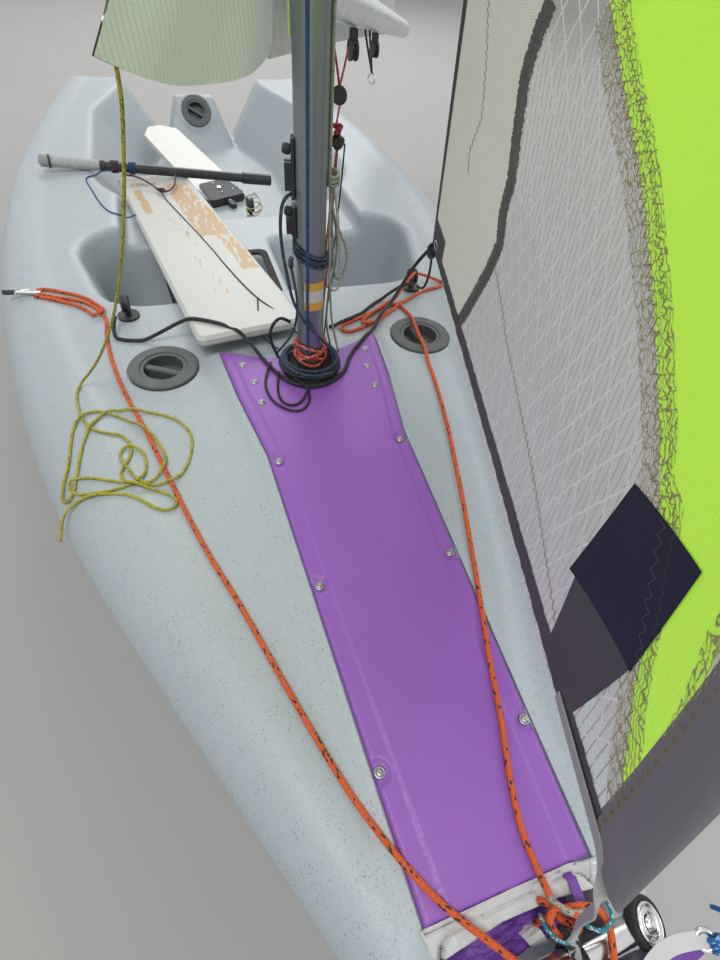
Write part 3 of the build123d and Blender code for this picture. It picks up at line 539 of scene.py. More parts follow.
FOIL_WHITE = (0.74, 0.73, 0.68)
foil = Finish("foil_white", FOIL_WHITE, 0.36)
stains = foil.smudges(3.4, 0.50, foil.stretched((1.0, 2.2, 1.0)))
fine_stains = foil.smudges(13.0, 0.52, foil.stretched((1.4, 3.0, 1.0)))
tan = foil.times(stains["Mask"], fine_stains["Mask"])
tone = foil.mix(foil.between(stains["Fine"], 0.4, 0.8, 0.0, 0.10), FOIL_WHITE, (0.50, 0.47, 0.40))
foil.colour(foil.mix(foil.between(tan, 0.02, 0.22, 0.0, 0.72), tone, (0.58, 0.42, 0.20)))
foil.rough(fine_stains["Fine"], 0.28, 0.5)
foil.bump(foil.noise(90.0, 3.0), 0.06, 0.0006)

BOARD_WHITE = (0.59, 0.59, 0.56)
BOARD_END = Vector((-1.31, -0.262, 0.389))
BOARD_ALONG = Vector((0.984, 0.136, 0.101)).normalized()
BOARD_ACROSS = Vector((-0.137, 0.990, 0.0)).normalized()
# Each mark: its limits along the board, its limits across it, and how much of it is worn away.
TAPE_MARKS = ((0.13, 0.66, 0.020, 0.097, 0.41), (0.09, 0.135, -0.085, 0.0, 0.38),
              (0.17, 0.42, -0.088, -0.064, 0.36), (0.40, 0.92, 0.068, 0.108, 0.43),
              (0.40, 1.05, -0.03, 0.0, 0.60), (0.015, 0.03, -0.06, 0.08, 0.42))


def board_finish():
    """The same white foil with the tan patches that old tape left on it."""
    made = Finish("board_white", BOARD_WHITE, 0.36)
    along, across = [made.maths(
        "SUBTRACT", made.vectors("DOT_PRODUCT", {0: made.place, 1: tuple(way)})["Value"], BOARD_END.dot(way))
        for way in (BOARD_ALONG, BOARD_ACROSS)]
    rough_edge = made.times(made.maths("SUBTRACT", made.noise(34.0, 5.0), 0.5), 0.045)
    along = made.maths("ADD", along, rough_edge)
    across = made.maths("ADD", across, made.times(rough_edge, 0.5))
    streaks = made.noise(18.0, 5.0, made.stretched((1.0, 5.0, 1.0)))
    whole = None
    for low, high, left, right, worn in TAPE_MARKS:
        edges = [made.between(value, limit - soft, limit + soft, 1.0 - rising, rising)
                 for value, limit, soft, rising in ((along, low, 0.004, 1.0), (along, high, 0.004, 0.0),
                                                    (across, left, 0.002, 1.0), (across, right, 0.002, 0.0))]
        inside = made.maths("MINIMUM", made.maths("MINIMUM", edges[0], edges[1]),
                            made.maths("MINIMUM", edges[2], edges[3]))
        inside = made.times(inside, made.between(streaks, worn - 0.05, worn + 0.07))
        whole = inside if whole is None else made.maths("MAXIMUM", whole, inside)
    marks = made.smudges(9.0, 0.5, made.stretched((1.0, 2.5, 1.0)))
    tone = made.over(BOARD_WHITE, marks["Mask"], 0.35, (0.47, 0.46, 0.42))
    made.colour(made.over(tone, whole, 0.85, (0.52, 0.30, 0.10)))
    made.rough(marks["Fine"], 0.28, 0.5)
    made.bump(made.maths("ADD", made.noise(90.0, 3.0), made.times(whole, 0.6)), 0.10, 0.0006)
    return made


CAD_FINISH = [
    (panel_finish, "foredeck_panel"), (hull_finish, "hull"),
    (board_finish(), "daggerboard"), (foil, "rudder_blade"),
    (grey_plastic, "hatch_rims hatch_lid_fore_starboard hatch_lid_fore_port hatch_lid_stern"),
    (alloy, "mast_lower mast_upper"), (boom_alloy, "boom_tube"), (black_tube, "tiller tiller_extension"),
    (black_rubber, "mast_collar board_slot_rim"),
    (steel, "jib_halyard_fitting gooseneck_bracket bow_bar rudder_pivot_pin rudder_gudgeons"),
    (black_plastic, "mast_joint_sleeve masthead_fitting masthead_sheave boom_jaw boom_end_cap boom_blocks "
                    "jib_sheet_blocks mainsheet_base mainsheet_arm mainsheet_block rudder_stock"),
]
for finish, nodes in CAD_FINISH:
    for node in nodes.split():
        mesh = frame["nodes"][node].data
        mesh.materials.clear()
        mesh.materials.append(finish.material)
print("the pieces of the frame have their finishes")

# %% [markdown]
# ## Short calls for geometry
# A piece is a mesh at the origin with its finish. Rope routes are given by a few listed points;
# Blender's own NURBS curve rounds them, and the tube is built along the points that are read from it.

# %% Making pieces
pieces_made = []


def mm(*numbers):
    """Points from numbers in millimetres, three to a point."""
    return [tuple(value / 1000 for value in numbers[at:at + 3]) for at in range(0, len(numbers), 3)]


def plain_mesh(name, corners, faces):
    mesh = bpy.data.meshes.new(name)
    mesh.from_pydata([tuple(corner) for corner in corners], [], faces)
    return mesh


def piece(name, corners, faces, finish, body="boat", uvs=None, smooth=True):
    """A mesh object on the origin, with its finish. With no body, it is blended between bodies later."""
    mesh = plain_mesh(name, corners, faces)
    if uvs is not None:
        layer = mesh.uv_layers.new(name="UVMap")
        for loop in mesh.loops:
            layer.data[loop.index].uv = uvs[loop.vertex_index]
    mesh.materials.append(finish.material)
    mesh.polygons.foreach_set("use_smooth", [smooth] * len(mesh.polygons))
    made = new_object(name, mesh)
    if body is not None:
        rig.ride(made, body)
    pieces_made.append(made)
    return made


def grid_faces(rows, columns):
    """The faces of a grid whose corners are listed row by row."""
    wide = columns + 1
    return [(r * wide + c, r * wide + c + 1, (r + 1) * wide + c + 1, (r + 1) * wide + c)
            for r in range(rows) for c in range(columns)]


def around_grid(rows, columns):
    """The corners on the rim of such a grid, in turn."""
    wide = columns + 1
    rim = list(range(wide)) + [row * wide + columns for row in range(1, rows + 1)]
    rim += [rows * wide + column for column in range(columns - 1, -1, -1)]
    return rim + [row * wide for row in range(rows - 1, 0, -1)]


def cloth(name, corner_at, heights, columns, finish, body="boat"):
    """A sheet. A function of column and height gives each corner and its place on the flat cloth."""
    pairs = [corner_at(column, height) for height in heights for column in range(columns + 1)]
    faces = grid_faces(len(heights) - 1, columns)
    return piece(name, [pair[0] for pair in pairs], faces, finish, body, [pair[1] for pair in pairs])


class Shape:
    """Corners, faces and UV places gathered from several parts into one piece."""

    def __init__(self):
        self.corners = []
        self.faces = []
        self.uvs = []

    def add(self, corners, faces, uvs=None):
        start = len(self.corners)
        self.corners.extend(Vector(corner) for corner in corners)
        self.faces.extend([tuple(index + start for index in face) for face in faces])
        self.uvs.extend(uvs or [(0.0, 0.0)] * len(corners))

    def made(self, name, finish, body="boat", smooth=True):
        return piece(name, self.corners, self.faces, finish, body, self.uvs, smooth)


def evenly(points, spacing):
    """The same line with points at an even spacing."""
    points = [Vector(point) for point in points]
    lengths = [0.0]
    for first, second in zip(points, points[1:]):
        lengths.append(lengths[-1] + (second - first).length)
    count = max(2, int(lengths[-1] / spacing) + 1)
    out = []
    at = 0
    for number in range(count):
        want = lengths[-1] * number / (count - 1)
        while at < len(points) - 2 and lengths[at + 1] < want:
            at += 1
        span = max(lengths[at + 1] - lengths[at], 1e-9)
        out.append(points[at].lerp(points[at + 1], min(1.0, (want - lengths[at]) / span)))
    return out


def nurbs_line(points, spacing=0.006):
    """Points along a NURBS curve through given points, read from the curve itself."""
    data = bpy.data.curves.new("route", "CURVE")
    data.dimensions = "3D"
    data.resolution_u = 12
    spline = data.splines.new("NURBS")
    spline.points.add(len(points) - 1)
    for slot, point in zip(spline.points, points):
        slot.co = (point[0], point[1], point[2], 1.0)
    spline.order_u = 3
    spline.use_endpoint_u = True
    route = new_object("route", data)
    mesh = baked(route, "route")
    line = [corner.co.copy() for corner in mesh.vertices]
    bpy.data.objects.remove(route)
    bpy.data.curves.remove(data)
    bpy.data.meshes.remove(mesh)
    return evenly(line, spacing)


def frames_along(points):
    """Two directions across the line at each point, carried along without a twist."""
    tangents = []
    for index in range(len(points)):
        before = points[max(0, index - 1)]
        after = points[min(len(points) - 1, index + 1)]
        tangents.append((after - before).normalized())
    side = tangents[0].orthogonal().normalized()
    frames = []
    for tangent in tangents:
        side = (side - tangent * side.dot(tangent)).normalized()
        frames.append((side, tangent.cross(side)))
    return frames


def add_tube(shape, points, radius, sides=10, squash=1.0):
    """A closed round tube along points, with turns and metres as its UV places."""
    corners = []
    uvs = []
    run = 0.0
    for index, (point, (side, other)) in enumerate(zip(points, frames_along(points))):
        if index:
            run += (point - points[index - 1]).length
        thick = radius[index] if isinstance(radius, list) else radius
        for step in range(sides + 1):
            angle = math.tau * step / sides
            corners.append(point + side * math.cos(angle) * thick + other * math.sin(angle) * thick * squash)
            uvs.append((step / sides, run))
    last = (len(points) - 1) * (sides + 1)
    ends = [tuple(reversed(range(sides))), tuple(range(last, last + sides))]
    shape.add(corners, grid_faces(len(points) - 1, sides) + ends, uvs)


def tubes(name, lines, radius, finish, body="boat", sides=8):
    """One piece of several tubes. A tuple gives each of them its own radius."""
    shape = Shape()
    for number, line in enumerate(lines):
        add_tube(shape, line, radius[number] if isinstance(radius, tuple) else radius, sides)
    return shape.made(name, finish, body)


def rope(name, points, diameter, finish, body="boat"):
    """A rope through given points. Gives the piece and the line that it follows."""
    line = nurbs_line(points)
    return tubes(name, [line], diameter / 2, finish, body, 10), line


def ring(place_at, steps):
    """A closed line whose points come from a function of the angle."""
    return [Vector(place_at(math.tau * step / steps)) for step in range(steps + 1)]


def line_length(line):
    return sum((second - first).length for first, second in zip(line, line[1:]))


def add_box(shape, low, high, turned):
    """A box between two corners, moved by a matrix."""
    places = [turned @ Vector((x, y, z)) for x in (low[0], high[0]) for y in (low[1], high[1])
              for z in (low[2], high[2])]
    shape.add(places, [(0, 1, 3, 2), (4, 6, 7, 5), (0, 4, 5, 1), (2, 3, 7, 6), (0, 2, 6, 4), (1, 5, 7, 3)])


def add_turned(shape, profile, matrix, sides=24):
    """A turned form: pairs of radius and height, spun about its own Z axis and placed by a matrix."""
    corners = []
    for radius, height in profile:
        for step in range(sides):
            angle = math.tau * step / sides
            corners.append(matrix @ Vector((radius * math.cos(angle), radius * math.sin(angle), height)))
    faces = []
    for low in range(0, (len(profile) - 1) * sides, sides):
        for step in range(sides):
            following = (step + 1) % sides
            faces.append((low + step, low + following, low + sides + following, low + sides + step))
    faces.append(tuple(reversed(range(sides))))
    faces.append(tuple(range((len(profile) - 1) * sides, len(profile) * sides)))
    shape.add(corners, faces)


def add_eyelet(shape, radii, rise, high, matrix, sides):
    """A pressed eyelet, given by its four radii and its half thickness at the hole and further out."""
    inset, inner, outer, edge = radii
    add_turned(shape, [(inner, -rise), (outer, -high), (edge, 0.0), (outer, high), (inner, rise), (inset, 0.0),
                       (inner, 0.0001 - rise)], matrix, sides)


def facing(place, direction):
    """A matrix that puts a piece's own Z axis along a direction at a place."""
    turn = Vector(direction).to_track_quat("Z", "Y").to_matrix().to_4x4()
    return Matrix.Translation(Vector(place)) @ turn


def baked(obj, name):
    """The mesh of an object with its modifiers worked in."""
    ready = obj.evaluated_get(bpy.context.evaluated_depsgraph_get())
    mesh = bpy.data.meshes.new_from_object(ready)
    mesh.name = name
    return mesh


def rounded(obj, cell, turns):
    """Adds the modifiers that wrap an object in a fine skin and then relax it."""
    wrap = obj.modifiers.new("wrap", "REMESH")
    wrap.mode = "VOXEL"
    wrap.voxel_size = cell
    relax = obj.modifiers.new("relax", "SMOOTH")
    relax.factor = 0.5
    relax.iterations = turns


print("the geometry kit is ready")

# %% [markdown]
# ## The moulded hull
# A rotomoulded hull has no sharp edge anywhere, because powder melts against the inside of a warm mould.
# The exact hull is copied, its recesses are filled, and the copy is wrapped in a fine skin that is then
# relaxed, which rounds every edge. The crisp recesses for the panel and hatches are cut out of it again.

# %% Hull shell
PANEL_TABLE = [(-0.097, 0.176), (0.05, 0.160), (0.21, 0.134), (0.5, 0.122), (0.896, 0.106)]
PANEL_REAR_DIP = 0.052
PANEL_Z = (0.489, 0.450)
HATCH_PLACES = [((-0.088, -0.294, 0.465), 0.0), ((-0.088, 0.294, 0.465), 0.0), ((-2.308, 0.0, 0.332), 51.9)]
HATCH_FILLING = [(0.084, -0.05), (0.084, 0.004)]
HATCH_RECESS = [(0.063, -0.09), (0.063, 0.0), (0.0735, 0.0), (0.0735, 0.05)]
SKIN_CELL = 0.0112
SHARP_ANGLE = 48


def between_points(table, value):
    """Straight line through a table of pairs."""
    if value <= table[0][0]:
        return table[0][1]
    for (x0, y0), (x1, y1) in zip(table, table[1:]):
        if value <= x1:
            return y0 + (y1 - y0) * (value - x0) / max(x1 - x0, 1e-9)
    return table[-1][1]


def panel_top(x):
    """Height of the panel's top at a place along it."""
    share = (x - PANEL_TABLE[0][0]) / (PANEL_TABLE[-1][0] - PANEL_TABLE[0][0])
    return PANEL_Z[0] + share * (PANEL_Z[1] - PANEL_Z[0])


def panel_prism(grow, low, high):
    """A closed slab with the outline of the panel, from low to high measured from the panel's top."""
    side = [(x, half + grow) for x, half in PANEL_TABLE]
    side[0] = (side[0][0] - grow, side[0][1])
    side[-1] = (side[-1][0] + grow, side[-1][1])
    rear = []
    for step in range(1, 12):
        y = side[0][1] * (1 - step / 6)
        rear.append((side[0][0] + PANEL_REAR_DIP * (1 - (y / side[0][1]) ** 2), y))
    outline = rear[::-1] + side + [(x, -y) for x, y in reversed(side)]
    corners = [(x, y, panel_top(x) + level) for level in (low, high) for x, y in outline]
    count = len(outline)
    faces = [tuple(range(count)), tuple(range(2 * count - 1, count - 1, -1))]
    for index in range(count):
        following = (index + 1) % count
        faces.append((following, index, index + count, following + count))
    return corners, faces


def plain_object(name, shape):
    """A mesh object for a tool, outward facing."""
    mesh = plain_mesh(name, shape.corners, shape.faces)
    work = bmesh.new()
    work.from_mesh(mesh)
    bmesh.ops.recalc_face_normals(work, faces=work.faces)
    work.to_mesh(mesh)
    work.free()
    return new_object(name, mesh)


block = Shape()
cad_hull = frame["nodes"]["hull"]
block.add([cad_hull.matrix_world @ corner.co for corner in cad_hull.data.vertices],
          [tuple(face.vertices) for face in cad_hull.data.polygons])
block.add(*panel_prism(0.011, -0.030, -0.0015))
cutter = Shape()
cutter.add(*panel_prism(0.0026, -0.0095, 0.06))
for place, tilt in HATCH_PLACES:
    matrix = Matrix.Translation(Vector(place)) @ Matrix.Rotation(math.radians(tilt), 4, "Y")
    add_turned(block, HATCH_FILLING, matrix, 40)
    add_turned(cutter, HATCH_RECESS, matrix, 64)
skin = plain_object("skin", block)
weld = skin.modifiers.new("weld", "WELD")
weld.merge_threshold = 0.00002
rounded(skin, SKIN_CELL, 7)
hull_shell = new_object("hull_shell", baked(skin, "hull_shell"))
cutting = plain_object("cutting", cutter)
cut = hull_shell.modifiers.new("cut", "BOOLEAN")
cut.operation = "DIFFERENCE"
cut.solver = "MANIFOLD"
cut.object = cutting
finished_mesh = baked(hull_shell, "hull_shell")
hull_shell.modifiers.clear()
hull_shell.data = finished_mesh
for tool in (skin, cutting):
    bpy.data.objects.remove(tool)
finished_mesh.materials.clear()
finished_mesh.materials.append(hull_finish.material)
finished_mesh.polygons.foreach_set("use_smooth", [True] * len(finished_mesh.polygons))
finished_mesh.set_sharp_from_angle(angle=math.radians(SHARP_ANGLE))
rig.ride(hull_shell, "boat")
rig.replaces(hull_shell, "hull")
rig.slot(hull_shell, "hull_plastic")
print("hull shell triangles:", sum(len(face.vertices) - 2 for face in finished_mesh.polygons))

# %% [markdown]
# ## The foredeck panel
# The cover has a rounded rim, a field that stands a little proud, and a scallop round each side screw.
# It is a fine grid that follows the outline, with its height worked out point by point.

# %% Panel relief
SIDE_SCREWS = [(0.23, 0.118), (0.483, 0.111), (0.743, 0.104)]
REAR_SCREWS = [(-0.039, 0.136), (0.018, 0.122), (0.078, 0.119)]
PANEL_ROWS = 330
PANEL_COLUMNS = 96
RIM_DEPTH = 0.0045


def ramp(value, low, high):
    """0 below low, 1 above high and smooth between."""
    share = min(1.0, max(0.0, (value - low) / (high - low)))
    return share * share * (3 - 2 * share)


def panel_relief(x, y, to_side, to_end):
    """Height above the plain slope: rim, raised field and scallops."""
    near = min(to_side, to_end)
    rim = -0.0042 * (1 - min(1.0, near / 0.006)) ** 2
    height = rim + 0.0016 * ramp(min(to_side - 0.020 - 0.010 * x, to_end), 0.0, 0.0035)
    for row_x, row_y in SIDE_SCREWS:
        away = math.hypot(x - row_x, abs(y) - row_y - 0.0015)
        height -= 0.0036 * (1 - ramp(away, 0.0125, 0.0165))
    return height


corners = []
front_x = PANEL_TABLE[-1][0]
for row in range(PANEL_ROWS + 1):
    for column in range(PANEL_COLUMNS + 1):
        across = 2 * column / PANEL_COLUMNS - 1
        start_x = PANEL_TABLE[0][0] + PANEL_REAR_DIP * (1 - across ** 2)
        x = start_x + (front_x - start_x) * row / PANEL_ROWS
        half = between_points(PANEL_TABLE, x)
        y = across * half
        height = panel_relief(x, y, half - abs(y), min(x - start_x, front_x - x))
        corners.append((x, y, panel_top(x) + height))
faces = [(a, d, c, b) for a, b, c, d in grid_faces(PANEL_ROWS, PANEL_COLUMNS)]
rim = around_grid(PANEL_ROWS, PANEL_COLUMNS)
first = len(corners)
corners += [(corners[at][0], corners[at][1], corners[at][2] - RIM_DEPTH) for at in rim]
for number, at in enumerate(rim):
    after = (number + 1) % len(rim)
    faces.append((at, rim[after], first + after, first + number))
panel_piece = piece("foredeck_cover", corners, faces, panel_finish)
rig.replaces(panel_piece, "foredeck_panel")
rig.slot(panel_piece, "panel_plastic")
print("panel corners:", len(corners))

# %% [markdown]
# ## Screws, set out by Geometry Nodes
# The screws are one form, repeated. A small node tree puts a copy on every point, turns each one by a
# different amount and gives it its finish, so the number and places can be changed in one list.


# %% Screws on the panel
def scatter_tree(name):
    """A Geometry Nodes tree that sets one object out on points, turned about Z by a seeded amount."""
    tree = bpy.data.node_groups.new(name, "GeometryNodeTree")
    for label, kind in (("Geometry", "Geometry"), ("Part", "Object"), ("Finish", "Material"), ("Seed", "Int")):
        tree.interface.new_socket(label, in_out="INPUT", socket_type="NodeSocket" + kind)
    tree.interface.new_socket("Geometry", in_out="OUTPUT", socket_type="NodeSocketGeometry")
    net = Network(tree, None)
    given = net.node("NodeGroupInput").outputs
    info = net.node("GeometryNodeObjectInfo", {"Object": given["Part"]})
    turn = net.node("FunctionNodeRandomValue", {"Seed": given["Seed"]}, data_type="FLOAT")
    low, high = [socket for socket in turn.inputs if socket.type == "VALUE" and socket.name in ("Min", "Max")]
    low.default_value = 0.0
    high.default_value = math.tau
    spin = [socket for socket in turn.outputs if socket.type == "VALUE" and socket.enabled][0]
    turned = net.node("ShaderNodeCombineXYZ", {"Z": spin}).outputs["Vector"]
    put = net.node("GeometryNodeInstanceOnPoints", {"Points": given["Geometry"], "Rotation": turned,
                                                    "Instance": info.outputs["Geometry"]})
    real = net.node("GeometryNodeRealizeInstances", {"Geometry": put.outputs["Instances"]})
    paint = net.node("GeometryNodeSetMaterial", {"Geometry": real.outputs["Geometry"],
                                                 "Material": given["Finish"]})
    net.node("NodeGroupOutput", {"Geometry": paint.outputs["Geometry"]})
    return tree


def set_out(name, part, points, finish, seed, body="boat"):
    """A real mesh with one copy of the part on each point."""
    holder = new_object(name + "_points", plain_mesh(name, points, []))
    modifier = holder.modifiers.new("set out", "NODES")
    modifier.node_group = scatter_tree("parts_on_points")
    values = {"Part": part, "Finish": finish.material, "Seed": seed}
    for socket in modifier.node_group.interface.items_tree:
        if socket.item_type == "SOCKET" and socket.in_out == "INPUT" and socket.name in values:
            modifier[socket.identifier] = values[socket.name]
    made = new_object(name, baked(holder, name))
    bpy.data.objects.remove(holder)
    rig.ride(made, body)


cup = Shape()
add_turned(cup, [(0.0078, -0.002), (0.0080, 0.0), (0.0074, 0.0012), (0.0058, 0.0024), (0.0050, 0.0019),
                 (0.0048, 0.0016), (0.0047, 0.0024), (0.0036, 0.0032), (0.0020, 0.0036), (0.0011, 0.0035),
                 (0.0010, 0.0022)], Matrix.Identity(4), 20)
cup_part = plain_object("screw_part", cup)
for face in cup_part.data.polygons:
    face.use_smooth = True
screw_points = []
for side in (1, -1):
    for places, lift in ((SIDE_SCREWS, -0.0022), (REAR_SCREWS, 0.0014)):
        screw_points += [(x, side * y, panel_top(x) + lift) for x, y in places]
screw_steel = bare_metal("screw_steel", (0.34, 0.34, 0.35), 0.34, (1.0, 0.4, 1.0))
set_out("panel_screws", cup_part, screw_points, screw_steel, 3)
bpy.data.objects.remove(cup_part)
print("screws:", len(screw_points))

# %% [markdown]
# ## The jib
# The jib is a laminate: clear film with threads caught in it, opaque panels where it is loaded, and
# folded tapes on its edges. All its layers lie on one curved surface, given by two numbers: u runs from
# the luff to the leech and s from the foot to the head. Each layer is a sheet lifted a little from it.

# %% Jib surface
JIB_TACK = Vector((0.906, 0.014, 0.655))
JIB_HEAD = Vector((0.059, 0.0, 3.6))
JIB_CLEW = Vector((-0.2, 0.343, 0.629))
JIB_TOP = 0.984
JIB_LUFF_LENGTH = 3.08
LAYER = 0.0006


def jib_plain(u, s):
    """A point of the jib's middle surface."""
    luff = JIB_TACK.lerp(JIB_HEAD, s)
    leech = JIB_CLEW + (JIB_HEAD + Vector((-0.02, 0.0, 0.0)) - JIB_CLEW) * s
    leech += Vector((0.25, -0.12, 0.0)) * (s * (1 - s))
    chord = leech - luff
    across = Vector((-chord.y, chord.x, 0.0)).normalized()
    belly = (0.055 + 0.352 * s * (1 - s)) * (1 - s ** 4)
    drop = 0.125 * math.exp(-s / 0.035)
    bow = 4 * u * (1 - u) * (1 + 0.4 * (0.5 - u))
    return luff + chord * u - across * belly * bow + Vector((0.0, 0.0, -drop * bow))


def jib_normal(u, s):
    over = jib_plain(u + 0.004, s) - jib_plain(u - 0.004, s)
    return over.cross(jib_plain(u, s + 0.002) - jib_plain(u, s - 0.002))


def jib_at(u, s, lift=0.0):
    """A point of the jib, lifted from it towards starboard."""
    point = jib_plain(u, s)
    if lift == 0.0:
        return point
    normal = jib_normal(u, s).normalized()
    if normal.y > 0:
        normal.negate()
    return point + normal * lift


def jib_corner(u, s, lift):
    """A point of the jib and its place on the flat cloth, in metres from the tack."""
    return jib_at(u, s, lift), (u * (1.16 - 1.06 * s), s * JIB_LUFF_LENGTH)


def jib_rows(low, high, fine, coarse):
    """Heights that lie closer together near the foot."""
    out = []
    at = low
    while at < high:
        out.append(at)
        at += fine + (coarse - fine) * min(1.0, at / 0.3)
    return out + [high]


def finer_route(route, spacing, whole=int):
    """The points of a (u, s) route at about a spacing, without its end. It rounds each step count by whole."""
    fine = []
    for (u0, s0), (u1, s1) in zip(route, route[1:]):
        steps = max(1, whole((jib_plain(u1, s1) - jib_plain(u0, s0)).length / spacing))
        fine += [(u0 + (u1 - u0) * k / steps, s0 + (s1 - s0) * k / steps) for k in range(steps)]
    return fine


def jib_sheet(name, left, right, rows, columns, lift, finish):
    """A sheet on the jib between two edges, each a function of the height."""
    return cloth(name, lambda column, s: jib_corner(left(s) + (right(s) - left(s)) * column / columns, s, lift),
                 rows, columns, finish)


def jib_patch(name, corners_us, layers, finish, steps=14):
    """A four-sided patch on the jib, given by its corners in turn."""
    a, b, c, d = corners_us

    def corner_at(column, up):
        over = column / steps
        u, s = [(a[k] * (1 - over) + b[k] * over) * (1 - up) + (d[k] * (1 - over) + c[k] * over) * up
                for k in (0, 1)]
        return jib_corner(u, s, layers * LAYER)

    return cloth(name, corner_at, [row / steps for row in range(steps + 1)], steps, finish)


def jib_ribbon(name, route, width, finish, spacing=0.008, wander=0.0, seed=1):
    """A narrow sheet that follows a route of (u, s) pairs on the jib."""
    chance = random.Random(seed)
    fine = finer_route(route, spacing) + [route[-1]]
    places = [jib_at(u, s, 2 * LAYER) for u, s in fine]
    corners = []
    uvs = []
    run = 0.0
    for index, (u, s) in enumerate(fine):
        along = (places[min(len(fine) - 1, index + 2)] - places[max(0, index - 2)]).normalized()
        side = jib_normal(u, s).cross(along).normalized()
        if index:
            run += (places[index] - places[index - 1]).length
        for step in range(5):
            place = (step / 4 - 0.5) * width
            if step in (0, 4):
                place += chance.uniform(-wander, wander)
            corners.append(places[index] + side * place)
            uvs.append((place, run))
    return piece(name, corners, grid_faces(len(fine) - 1, 4), finish, "boat", uvs)


def jib_zigzag(name, route, width, pitch, radius, lift=2.3 * LAYER):
    """Zigzag stitching along a route of (u, s) pairs, as one thin thread."""
    fine = finer_route(route, pitch, round)
    points = []
    for index, (u, s) in enumerate(fine[:-1]):
        point = jib_at(u, s, lift)
        side = jib_normal(u, s).cross(jib_at(*fine[index + 1], lift) - point).normalized()
        points.append(point + side * (width / 2 if index % 2 else -width / 2))
    tubes(name, [points], radius, thread_tan, sides=4)


# %% [markdown]
# Film is see-through where there is no thread. In the shader the threads are lines in the cloth's own
# metres: tan ones that fan out from the tack, white ones on two diagonals, and fine crossing ones.


# %% Sail finishes
def laminate(name, film, film_alpha, warp, diagonal, crossing, gloss=0.3):
    """Film with threads. Each set is (colour, spacing, width, alpha) or None."""
    made = Finish(name, film, gloss)
    wave = made.node("ShaderNodeTexNoise", {"Scale": 9.0, "Detail": 2.0, "Vector": made.metres})
    place = made.bent(wave.outputs["Color"], 0.008)
    tone = film
    alpha = film_alpha
    height = 0.0
    for settings, angles in ((crossing, (0.08, 1.45)), (warp, (-0.05,)), (diagonal, (0.62, 2.46))):
        if settings is None:
            continue
        colour, spacing, width, cover = settings
        for angle in angles:
            line = made.threads(place, angle, spacing, width)
            tone = made.mix(line, tone, colour)
            alpha = made.maths("MAXIMUM", alpha, made.times(line, cover))
            height = made.maths("MAXIMUM", height, line)
    marks = made.smudges(7.0, 0.5)
    made.colour(made.over(tone, marks["Mask"], 0.22, dimmed(film, 0.6)))
    made.set("Alpha", alpha)
    made.rough(marks["Fine"], gloss, gloss + 0.25)
    creases = made.noise(16.0, 6.0, made.stretched((1.0, 1.0, 0.6)), 1.2)
    made.bump(made.maths("ADD", creases, made.times(height, 0.1)), 0.35, 0.004)
    return made


def tape(name, colour, alpha=1.0, fray=0.0, half=0.02):
    """Sewn tape: fine ribs along it, dust, and ends of thread where it frays."""
    made = Finish(name, colour, 0.72)
    ribs = made.threads(made.metres, 1.5708, 0.0016, 0.5)
    tone = made.over(colour, ribs, 0.25, dimmed(colour, 0.66))
    dusty = tuple(min(1.0, part) for part in dimmed(colour, 1.5))
    made.colour(made.over(tone, made.smudges(22.0, 0.55)["Mask"], 0.35, dusty))
    made.bump(ribs, 0.25, 0.0004)
    if fray or alpha < 1.0:
        edge = made.maths("SUBTRACT", half, made.maths("ABSOLUTE", made.parts(made.metres)["X"]))
        torn = made.times(made.noise(220.0, 3.0, made.metres), fray)
        made.set("Alpha", made.times(made.maths("GREATER_THAN", edge, torn), alpha))
    return made


film_clear = laminate("jib_film", (0.50, 0.51, 0.50), 0.34, ((0.47, 0.42, 0.31), 0.0125, 0.15, 0.95),
                      ((0.86, 0.86, 0.84), 0.034, 0.075, 1.0), ((0.72, 0.72, 0.70), 0.0042, 0.16, 0.45))
film_white = laminate("jib_white_strip", (0.66, 0.67, 0.65), 0.72, ((0.54, 0.50, 0.42), 0.0125, 0.12, 0.9),
                      ((0.85, 0.85, 0.83), 0.034, 0.06, 1.0), ((0.82, 0.82, 0.80), 0.0036, 0.2, 0.8))
film_cream = laminate("jib_cream_cloth", (0.66, 0.66, 0.57), 0.90, ((0.55, 0.53, 0.42), 0.0058, 0.16, 1.0),
                      None, ((0.74, 0.74, 0.66), 0.0030, 0.25, 1.0), 0.5)
film_lime = laminate("jib_lime_panel", (0.56, 0.90, 0.05), 0.96, ((0.44, 0.74, 0.04), 0.0060, 0.13, 1.0),
                     None, ((0.64, 0.95, 0.12), 0.0034, 0.26, 1.0), 0.42)
# Painted light: the sail films glow a little, standing for the light that comes through them from behind.
film_lime.glow((0.44, 0.90, 0.05), 0.36)
film_cream.glow((0.66, 0.66, 0.57), 0.22)
film_white.glow((0.66, 0.67, 0.65), 0.10)
film_clear.glow((0.60, 0.61, 0.60), 0.11)
tape_dark = tape("jib_dark_tape", (0.085, 0.080, 0.090))
dark_wavy_band = tape("jib_wavy_band", (0.100, 0.095, 0.098), 0.90, 0.016, 0.023)
sleeve_finish = tape("jib_luff_sleeve", (0.225, 0.215, 0.232))
navy = tape("jib_navy_patch", (0.004, 0.007, 0.030))
lilac = tape("jib_corner_patch", (0.33, 0.30, 0.33), 0.93)
webbing = tape("webbing_grey", (0.33, 0.34, 0.34))
thread_tan = tape("thread_tan", (0.34, 0.27, 0.13))
thread_white = tape("thread_white", (0.66, 0.66, 0.64))
thread_black = tape("thread_black", (0.015, 0.015, 0.015))

yarns = Finish("jib_loose_yarns", (0.45, 0.40, 0.22), 0.7)
place = yarns.bent(yarns.noise(26.0, 3.0, yarns.metres, 1.4), 0.028)
strands = yarns.maths("MAXIMUM", yarns.threads(place, 0.06, 0.0052, 0.24),
                      yarns.threads(place, 1.1, 0.017, 0.10))
yarns.set("Alpha", yarns.maths("MAXIMUM", strands, 0.08))
print("sail finishes are made")

